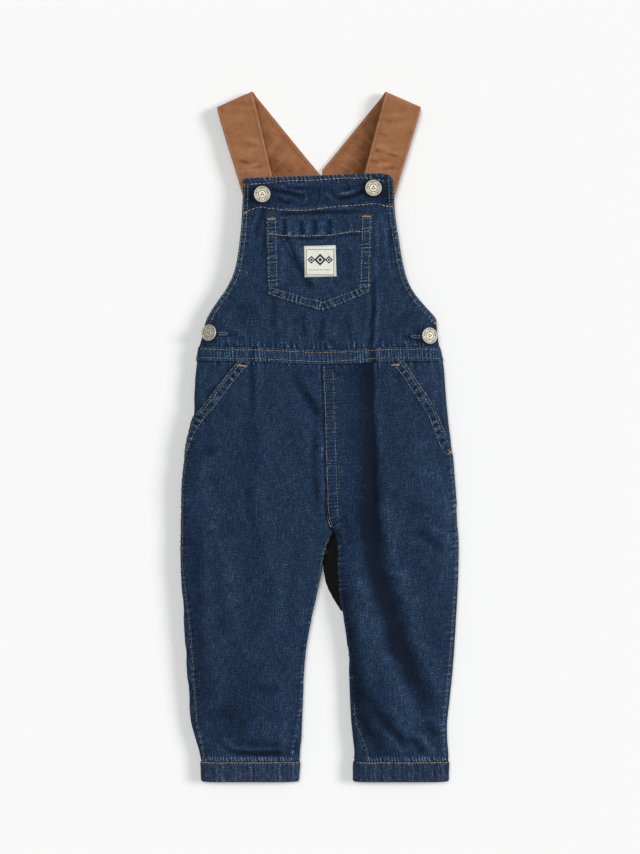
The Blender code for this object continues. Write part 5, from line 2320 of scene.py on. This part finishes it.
    def _band(self) -> Piece:
        """Makes the waist band with its two rows of stitches.

        Returns:
            The piece.
        """
        upper = Row(0, Thread.AMBER, 0.005, 0.995, 0.9, 2.7)
        lower = Row(0, Thread.SLATE, 0.005, 0.995, 1.2, 2.6)
        seams = (
            Seam(Line(BAND_UPPER, (0, 0)), -2, 11, 0, 0.24, 3, 1, 0.13, (upper,), 137, ribs=0.11),
            Seam(Line(BAND_LOWER, (0, 0)), -0.5, 0.5, 0, 0.1, 4.9, 2, 0, (lower,), 139)
        )
        relief = layered(seams, BAND_CREASES, ((16, 0.15),), 141)
        grid = sections_grid(np.linspace(WAIST_BOTTOM, WAIST_TOP, 21), self.front_section, 325)
        normal = grid_normals(grid, False)
        grid = grid + normal * np.sign(normal[..., 2:].mean()) * BAND_RAISE
        wall, cut = DENIM + BAND_RAISE - 0.1, Cut(250, 14.5)
        band = ClothShell("waist_band_cloth", "waist_band", grid, wall, relief, cut).build()
        face = Face(lambda x, y: self.height(x, y) + BAND_RAISE, relief)
        for seam in seams:
            self.sewing.seam(face, seam)
        return band

    def _pocket_foot(self, x: Array) -> Array:
        """Draws the pocket's lower edge, with its point rounded.

        Args:
            x: Places across.

        Returns:
            The y of the edge.
        """
        point_x, point_y = self.pocket_point
        left, right = self.pocket_side
        from_left = np.clip((x - self.pocket_left) / (point_x - self.pocket_left), 0, 1)
        from_right = np.clip((self.pocket_right - x) / (self.pocket_right - point_x), 0, 1)
        left, right = left + (point_y - left) * from_left, right + (point_y - right) * from_right
        return np.where(x < point_x, left, right) + 1.1 * bell(x - point_x, 4.5)

    def _pocket_top(self, x: Array) -> Array:
        """The pocket's upper edge at x."""
        u = (x - self.pocket_left) / (self.pocket_right - self.pocket_left)
        return self.pocket_top[0] + (self.pocket_top[1] - self.pocket_top[0]) * u - 1.2 * bell(x + 8, 24)

    def _pocket_seams(self) -> list[Seam]:
        """Lays out the pocket's turned sides and foot, and the hem at its mouth.

        Returns:
            The seams.
        """
        slate = Thread.SLATE
        left, right, taper = self.pocket_left, self.pocket_right, self.pocket_taper
        xs = np.array([left + taper, -24, self.pocket_point[0], 27, right - taper])
        foot = list(zip(xs, self._pocket_foot(xs)))
        sides = [(left, 208), (left + taper, 135)], [(right, 210), (right - taper, 137)]
        middle = (0.0, 165.0)
        rows = Row(1.7, slate), Row(8.6, slate)
        low_rows = Row(1.6, slate), Row(7.4, slate)
        seams = [
            Seam(Line(points, middle), 0, 9.6, 0.35, 0.24, 4.6, 1.6, 0.02, rows, seed, ribs=0.18)
            for points, seed in zip(sides, (149, 151))
        ]
        seams += [
            Seam(Line(points, middle), 0, 8.4, 0.35, 0.26, 4.4, 1.6, -0.02, low_rows, seed, ribs=0.22)
            for points, seed in ((foot[:3], 153), (foot[2:], 157))
        ]
        hem, row = Line(POCKET_HEM_STITCH, (0, 300)), Row(0, Thread.GOLD)
        seams.append(Seam(hem, -0.5, 1, 0.1, 0.16, 6, 4, 0, (row,), 159))
        return seams

    def _pocket(self) -> Piece:
        """Makes the patch pocket, with a pointed lower edge.

        Returns:
            The piece.
        """
        u, v = np.meshgrid(np.linspace(0, 1, 145), np.linspace(0, 1, 129))
        x = self.pocket_left + (self.pocket_right - self.pocket_left) * u
        top, foot = self._pocket_top(x), self._pocket_foot(x)
        y = top + (foot - top) * v
        x = x + self.pocket_taper * v * (1 - 2 * u)
        grid = np.stack([x, y, self.pocket_height(x, y)], axis=-1)
        seams = self._pocket_seams()
        relief = layered(seams, POCKET_CREASES, ((20, 0.3), (9, 0.1)), 161)
        cut = Cut(101, 93, 0.9, ("front_bib_cloth",))
        pocket = ClothShell("bib_pocket_cloth", "bib_pocket", grid, POCKET_WALL, relief, cut).build()
        self.pocket_face = Face(self.pocket_height, relief)
        for seam in seams:
            self.sewing.seam(self.pocket_face, seam)
        self.sewing.bar_tack(self.pocket_face, (-49.5, 206.4), (-41.6, 206.7))
        self.sewing.bar_tack(self.pocket_face, (40.2, 208.9), (48.4, 208.9))
        return pocket

    def _on_patch(self, across: Array, along: Array) -> Pair:
        """Finds plan places of points on the flat patch.

        Args:
            across: Their place across it, from its middle.
            along: Their place along it.

        Returns:
            Their x and y.
        """
        cos, sin = math.cos(self.patch_turn), math.sin(self.patch_turn)
        x = self.patch_middle[0] + cos * across - sin * along
        return x, self.patch_middle[1] + sin * across + cos * along

    def _patch(self) -> Piece:
        """Makes the bare woven patch on the pocket.

        Returns:
            The piece.
        """
        places = np.linspace(-0.5, 0.5, self.PATCH_POINTS)
        u, v = np.meshgrid(places, places)
        x, y = self._on_patch(u * self.patch_size[0], v * self.patch_size[1])
        grid = np.stack([x, y, self.patch_height(x, y)], axis=-1)

        def relief(px: Array, py: Array) -> Pair:
            """Follows the pocket, a little evened out."""
            height = self.pocket_face.relief(px, py)[0] * 0.6
            return height + 0.1 * crumple(px, py, 9, 171), np.zeros_like(px)

        cut = Cut(31, 30.5, 0.95, ("bib_pocket_cloth",))
        patch = ClothShell(
            "bib_patch_cloth", "bib_patch", grid, 0.8, relief, cut, finish=Finish.PATCH, slot="woven_patch",
            origin=self.patch_middle
        ).build()
        half_x, half_y = (size / 2 - 0.9 for size in self.patch_size)
        flat = (-half_x, -half_y), (half_x, -half_y), (half_x, half_y), (-half_x, half_y)
        corners = [self._on_patch(*corner) for corner in flat]
        fine = Sewing(radius=0.16, parts=self.sewing.parts)
        row = Row(0, Thread.SLATE, strength=1.3, pitch=2.2)
        for start, end in zip(corners, corners[1:] + corners[:1]):
            line = Line((start, end), self.patch_middle)
            fine.run(Face(self.patch_height, relief), line, row, 0.3, line.length, 12)
        return patch


@dataclass
class Strap:
    """A canvas strap: out from under the bib, folded at the shoulder and sewn to the back."""

    side: str
    mirror: int
    torso: Torso
    sewing: Sewing
    front_creases: tuple[Fall, ...]
    back_creases: tuple[Fall, ...]
    # Strength, and reach in millimetres, of the painted shadow that the front length casts on the back length.
    shade: tuple[float, float]
    width_bib: float = 31.7
    width_fold: float = 36.4
    lean: float = math.radians(15.0)
    fold_angle: float = math.radians(23.8)
    fold_middle: tuple[float, float] = (-82.0, 321.2)
    skew: float = 0.12
    fold_radius: float = 6.2
    under_bib: float = 108.0
    back_centre: float = 2.4
    sag: float = 1.6
    on_back_bib: float = 1.9

    COLUMNS = 34
    STITCH_INSET = 3.2
    STITCH_PITCH, STITCH_LENGTH, STITCH_RADIUS = 3.2, 2.3, 0.22

    def __post_init__(self) -> None:
        """Works out where the fold ends."""
        self.turned = math.pi * self.fold_radius

    def points(self, depth: Array, across: Array) -> Array:
        """Points of the outer face.

        Args:
            depth: Distance past the shoulder's fold, square to it. Below 0 on the front length.
            across: From -1 to 1 over the width.

        Returns:
            Points in millimetres.
        """
        radius = self.fold_radius
        wide = self.width_bib + (self.width_fold - self.width_bib) * smooth(depth, -85, 0)
        reach = across * wide / 2
        fold = np.array([math.cos(self.fold_angle), math.sin(self.fold_angle)])
        away = np.array([-fold[1], fold[0]])
        up = np.array([-math.sin(self.lean), math.cos(self.lean)])
        side = np.array([up[1], -up[0]])
        along = (depth - reach * (side @ away)) / (up @ away)
        flat = along[..., None] * up + reach[..., None] * side
        base = np.array(self.fold_middle) - away * radius
        turn = np.clip(depth / radius, 0, math.pi)
        past = np.maximum(depth - self.turned, 0)
        shift = flat @ fold + self.skew * past
        back = base + fold * shift[..., None] + away * (radius * np.sin(turn) - past)[..., None]
        plan = np.where((depth <= 0)[..., None], base + flat, back)
        x, y = plan[..., 0] * self.mirror, plan[..., 1]
        tucked = self.torso.height(x, y) - DENIM - 2 * SEAM_GAP
        share = smooth(y, 270, 251)
        sag = self.sag * np.sin(math.pi * smooth(y, 314, 255)) ** 2
        high = 2 * radius * (1 - share) + tucked * share - sag
        low = self.on_back_bib * smooth(y, 262, 243)
        bend = radius * (1 + np.cos(turn))
        z = np.where(depth <= 0, high, np.where(past > 0, low, bend))
        return np.stack([x, y, z], axis=-1)

    def build(self) -> list[Piece]:
        """Makes the strap and its edge stitches.

        Returns:
            The strap, without its stitches.
        """
        lines = np.linspace(-1, 1, self.COLUMNS)
        middle = self.back_centre * self.mirror - SEAM_GAP / 2
        here, there = (
            self.points(np.full(lines.size, depth), lines)[:, 0] * self.mirror
            for depth in (self.turned, self.turned + 1)
        )
        ends = self.turned + (middle - here) / (there - here)
        front = np.linspace(-self.under_bib, 0, 92)[:-1]
        turn = np.linspace(0, self.turned, 22)
        rest = self.turned + (ends - self.turned) * np.linspace(0, 1, 90)[1:, None]
        even = np.concatenate([front, turn])[:, None]
        depth = np.concatenate([np.repeat(even, lines.size, 1), rest])
        strap = self._shell(depth, np.repeat(lines[None, :], len(depth), 0))
        self._sew(ends)
        return [strap]

    def _lie(self, depth: Array, across: Array) -> Pair:
        """How the canvas lies: rolled edges, sewn channels, ripples, creases and painted shadow.

        Args:
            depth: As for the points.
            across: As for the points.

        Returns:
            Its height and its fade.
        """
        half = self.width_fold / 2
        edge = half * (1 - np.abs(across))
        channel = bell(edge - self.STITCH_INSET, 0.8)
        seed = 181 if self.mirror > 0 else 191
        ripple = wander(depth + 9 * across, 26, seed) * (0.5 + 0.5 * wander(depth, 70, seed + 1))
        height = 0.32 * ripple + 0.25 * bell(edge, 3.0) - 0.15 * channel
        height = height - 0.5 * bell(edge, 0.5)
        # Raised ripples and rolled edges painted paler and sewn channels painted darker: painted shading.
        fade = 0.12 * ripple + 0.26 * bell(edge, 1.0) - 0.06 * channel
        place = self.points(depth, across)
        inside = smooth(depth, self.turned - 6, self.turned + 8)
        for share, creases in ((1 - inside, self.front_creases), (inside, self.back_creases)):
            more, paler = layered((), creases, ())(place[..., 0], place[..., 1])
            height, fade = height + more * share, fade + paler * share
        # The back length is painted a little darker all over, and darker still beside the front length as painted
        # shadow that the front length casts.
        side = np.array([math.cos(self.lean), math.sin(self.lean)])
        plan = np.stack([place[..., 0] * self.mirror, place[..., 1]], axis=-1)
        beside = np.maximum((plan - np.array(self.fold_middle)) @ side - half + 1, 0)
        strength, reach = self.shade
        fade = fade - inside * (0.12 + strength * np.exp(-beside / reach))
        return height, np.clip(fade, -1.2, 0.6)

    def _shell(self, depth: Array, across: Array) -> Piece:
        """Makes the strap's wall on a grid.

        Args:
            depth: As for the points.
            across: As for the points.

        Returns:
            The piece.
        """
        grid = self.points(depth, across)
        lie = self._lie(depth, across)
        up = grid_normals(grid, False)[..., 2]
        side = Side.UP if up[: len(grid) // 3].mean() * up.mean() > 0 else Side.DOWN
        name, node = f"strap_canvas_{self.side}", f"strap_{self.side}"
        return ClothShell(
            name, node, grid, CANVAS, lambda x, y: lie, Cut(38, 248, 1.0, ("back_bib_cloth",)), side,
            Finish.CANVAS, "canvas", (0.6, 0.6, 0.0, 0.0), skip=1, through=1.0
        ).build()

    def _on_strap(self, depth: Array, across: Array, lift: float = 0.0) -> Pair:
        """Finds points on whichever face looks up.

        Args:
            depth: As for the points.
            across: As for the points.
            lift: How far they are raised off it.

        Returns:
            The points, and their unit normals.
        """
        outer = self.points(depth, across)
        run = self.points(depth + 0.4, across) - self.points(depth - 0.4, across)
        over = self.points(depth, across + 0.02) - self.points(depth, across - 0.02)
        normal = unit(np.cross(over, run) * self.mirror)
        top = outer + normal * (self._lie(depth, across)[0] + lift)[..., None]
        under = (depth > self.turned / 2)[..., None]
        return np.where(under, outer - normal * (CANVAS + lift), top), np.where(under, -normal, normal)

    def _sew(self, ends: Array) -> None:
        """Sews rows near both edges, on the face that shows.

        Args:
            ends: Depth of the last row, from edge to edge.
        """
        edge = 1 - self.STITCH_INSET / (self.width_fold / 2)
        rng = np.random.default_rng(7)
        for across in (-edge, edge):
            last = float(np.interp(across, np.linspace(-1, 1, len(ends)), ends))
            middles = np.arange(-self.under_bib + 4, last - 3, self.STITCH_PITCH)
            middles = middles[(middles < 1) | (middles > self.turned - 1)]
            runs = middles[:, None] + Sewing.PLACES * self.STITCH_LENGTH
            tone = rng.normal(0.5, 0.2, middles.size)
            beside = np.full_like(runs, across)
            self.sewing.lay(self._on_strap, runs, beside, tone, Thread.TAN, self.STITCH_RADIUS)


@dataclass
class Button:
    """A turned tack button with a rim, a ring of plain marks and a boss of three beads."""

    name: str
    x: float
    y: float
    tilt: float
    lift: float
    torso: Torso
    radius: float = 7.75
    neck: float = 3.0
    marks: int = 22

    SPOKES = 132
    CAP_RINGS = 46
    CAP_INSET = 0.9
    RIM = ((0.25, 3.42), (0.5, 3.4), (0.72, 3.25), (0.86, 3.0), (0.9, 2.6), (0.84, 2.1), (0.6, 1.75))
    MARK_DEPTH = 0.32
    MARK_RADIUS, GROOVE_RADIUS, BEAD_RADIUS, RIM_GROOVE_RADIUS = 5.55, 3.7, 1.25, 6.75

    def _outline(self) -> Pair:
        """Draws the turned form, from the cap's middle to the foot's.

        Returns:
            Its radii and its heights.
        """
        flat = self.radius - self.CAP_INSET
        cap = np.linspace(0.02, flat, self.CAP_RINGS)
        face = 3.05 + 0.2 * bell(cap, 2.6) + 0.35 * smooth(cap, 6.3, 6.85)
        rim = np.array(self.RIM)
        neck = self.neck
        foot = ((self.radius - 1.2, 1.55), (neck + 0.3, 1.4), (neck, 1.2), (neck, 0), (0.02, 0))
        radii, heights = np.array(foot).T
        return np.concatenate([cap, flat + rim[:, 0], radii]), np.concatenate([face, rim[:, 1], heights])

    def _relief(self, r: Array, a: Array) -> Array:
        """Works out how deep the cap is marked.

        Args:
            r: Distance from its middle.
            a: Angle round it.

        Returns:
            Depths from 0 to 1.
        """
        notch = np.clip(2.2 * np.cos(a * self.marks) - 0.5 + 0.5 * np.cos(a * 5 + 1), 0, 1)
        mark = bell(r - self.MARK_RADIUS, 0.72) * notch + 0.75 * bell(r - self.GROOVE_RADIUS, 0.28)
        x, y = r * np.cos(a), r * np.sin(a)
        for turn in (0.5, 2.6, 4.7):
            away = np.hypot(x - self.BEAD_RADIUS * np.cos(turn), y - self.BEAD_RADIUS * np.sin(turn))
            mark = mark + bell(away, 0.62)
        return np.clip(mark, 0, 1)

    def build(self) -> Piece:
        """Makes the button square to its cloth and leaned by its tilt.

        Returns:
            The button.
        """
        radii, turned = self._outline()
        rows, spokes = len(radii), self.SPOKES
        r, a = np.meshgrid(radii, np.arange(spokes) * (2 * math.pi / spokes), indexing="ij")
        cap = np.arange(rows)[:, None] < self.CAP_RINGS
        mark = np.where(cap, self._relief(r, a), 0)
        z = turned[:, None] - self.MARK_DEPTH * mark
        flat = np.stack([r * np.cos(a), r * np.sin(a), z], axis=-1).reshape(-1, 3)
        shine = 0.8 - 1.05 * mark - 0.4 * bell(r - self.RIM_GROOVE_RADIUS, 0.22) * cap
        base, normal = self._seat()
        turn = normal.to_track_quat("Z", "Y").to_matrix()
        faces = grid_faces(rows, spokes, 0, True)[:, ::-1].tolist()
        faces += [list(range(spokes)), list(range((rows - 1) * spokes, rows * spokes))[::-1]]
        placed = flat @ np.array(turn).T + np.array(base)
        name, finish = f"{self.name}_metal", Finish.PEWTER
        piece = make_object(name, placed, faces, finish, cloth=flat, fade=shine.ravel())
        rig.replaces(piece, self.name)
        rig.slot(piece, "button_metal")
        return piece

    def _seat(self) -> tuple[Vector, Vector]:
        """Finds where the button stands on the cloth.

        Returns:
            The place of its foot, and the way it faces.
        """
        small = 1.5

        def height(dx: float, dy: float) -> float:
            """Height of the cloth near the button."""
            y = self.y - float(Torso.tilt(self.y)) * self.x + dy
            return float(self.torso.height(np.array(self.x + dx), np.array(y)))

        slope_x = (height(small, 0) - height(-small, 0)) / (2 * small)
        slope_y = (height(0, small) - height(0, -small)) / (2 * small)
        normal = Vector((-slope_x, -slope_y, 1)).normalized()
        normal = Matrix.Rotation(math.radians(self.tilt), 3, "Y") @ normal
        return Vector((self.x, self.y, height(0, 0))) + normal * self.lift, normal


# Floor, light and camera.


@dataclass
class Studio:
    """A plain pale floor, soft light mostly from the right, and a camera straight above."""

    pixel_mm: float = 0.95
    frame_pixels: tuple = (640, 854)
    middle_mm: tuple = (0.475, 9.5)
    camera_height: float = 2.1
    sensor_mm: float = 36.0
    cloth_height: float = 0.012

    def build(self) -> None:
        """Makes the floor, the lights, the surroundings and the camera."""
        self._floor()
        self._light("key_window", (1.0, 0.16, 0.68), 20.0, 1.75)
        self._light("top_window", (-0.12, 0.22, 1.0), 24.0, 1.69)
        self._surroundings(0.19)
        self._camera()
        bpy.context.scene.view_settings.view_transform = "Standard"

    def _floor(self) -> None:
        """A large plane just under the garment."""
        mesh = bpy.data.meshes.new("floor")
        work = bmesh.new()
        bmesh.ops.create_grid(work, x_segments=4, y_segments=4, size=4.0)
        work.to_mesh(mesh)
        work.free()
        mesh.materials.append(material(Finish.PAPER))
        floor = bpy.data.objects.new("floor", mesh)
        floor.location.z = -0.0003
        bpy.context.scene.collection.objects.link(floor)
        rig.stage(floor)

    def _light(self, name: str, source: tuple, spread: float, strength: float) -> None:
        """Lets in a large far window's light.

        Args:
            name: The window's name.
            source: Where it shines from.
            spread: The window's width in degrees.
            strength: The light's strength.
        """
        data = bpy.data.lights.new(name, "SUN")
        data.angle, data.energy = math.radians(spread), strength
        lamp = bpy.data.objects.new(name, data)
        lamp.location = source
        lamp.rotation_euler = Vector(source).to_track_quat("Z", "Y").to_euler()
        bpy.context.scene.collection.objects.link(lamp)

    def _surroundings(self, strength: float) -> None:
        """Makes an even white world.

        Args:
            strength: Its strength.
        """
        world = bpy.data.worlds.new("studio")
        world.use_nodes = True
        background = world.node_tree.nodes["Background"]
        background.inputs["Color"].default_value = (1, 1, 1, 1)
        background.inputs["Strength"].default_value = strength
        bpy.context.scene.world = world

    def _camera(self) -> None:
        """A camera straight above, with the garment's straps at the top of the frame."""
        data = bpy.data.cameras.new("camera")
        tall = self.frame_pixels[1] * self.pixel_mm * MM
        data.sensor_fit = "AUTO"
        data.sensor_width = self.sensor_mm
        data.lens = self.sensor_mm * (self.camera_height - self.cloth_height) / tall
        camera = bpy.data.objects.new("camera", data)
        camera.location = (self.middle_mm[0] * MM, self.middle_mm[1] * MM, self.camera_height)
        bpy.context.scene.collection.objects.link(camera)
        bpy.context.scene.camera = camera


# The whole garment.


def build_garment() -> None:
    """Builds the garment's sub-assemblies in order."""
    sewing = Sewing()
    torso = Torso(sewing)
    right = Leg("right", RIGHT_LEG_ROWS, RIGHT_MOUTH_ROWS, sewing, RIGHT_CREASES)
    left = Leg("left", LEFT_LEG_ROWS, LEFT_MOUTH_ROWS, sewing, LEFT_CREASES)
    straps = (
        Strap("right", 1, torso, sewing, RIGHT_STRAP_FRONT, RIGHT_STRAP_BACK, (0.45, 5.0)),
        Strap(
            "left", -1, torso, sewing, LEFT_STRAP_FRONT, LEFT_STRAP_BACK, (1.15, 9.5), width_bib=33.7,
            lean=math.radians(15.7), fold_middle=(-80.9, 321.1), skew=0.13
        )
    )
    for part in (torso, right, left, *straps):
        for piece in part.build():
            LOG.info("%s: %d faces", piece.name, len(piece.data.polygons))
    sewing.bar_tack(right.face, (-78.0, 68.2), (-68.6, 67.4))
    sewing.bar_tack(left.face, (68.0, 68.6), (76.0, 68.8))
    sewing.bar_tack(torso.bib_face, (-72.2, 212.0), (-68.7, 213.3), 1.2)
    sewing.bar_tack(torso.bib_face, (108.4, 108.6), (111.2, 106.6), 1.1)
    cross = np.array([[(121.0, -11.8), (125.4, -16.6)], [(125.2, -12.2), (121.2, -16.8)]])
    sewing.bars(left.face, cross[:, 0], cross[:, 1], Thread.ORANGE, 0.4, 0.3)
    sewing.buttonhole(torso.bib_face, (-95.5, 97.9), (-88.6, 98.2))
    sewing.buttonhole(torso.bib_face, (95.5, 95.1), (88.4, 95.4))
    for name, x, y, tilt, lift in (
        ("strap_button_right", -54.3, 230.0, 0, 0.35), ("strap_button_left", 51.1, 235.9, 0, 0.35),
        ("side_button_right", -103.3, 98.4, -8, 0.9), ("side_button_left", 103.0, 95.7, 6, 0.9)
    ):
        piece = Button(name, x, y, tilt, lift, torso).build()
        LOG.info("%s: %d faces", piece.name, len(piece.data.polygons))
    sewing.build()


def write_sizes(solids: tuple[Vector, Vector]) -> None:
    """Writes the solids' box and the finished model's box.

    Args:
        solids: The corners of the solids' box.
    """
    boxes = {"cad": solids, "visual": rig.bounds()}
    with open(SIZE_FILE, "w") as file:
        json.dump({key: [list(corner) for corner in box] for key, box in boxes.items()}, file)


def main() -> None:
    """Loads the solids and dresses them."""
    logging.basicConfig(level=logging.INFO, format="%(name)s: %(message)s")
    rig.load()
    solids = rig.bounds()
    Studio().build()
    build_garment()
    write_sizes(solids)


if __name__ == "__main__":
    main()
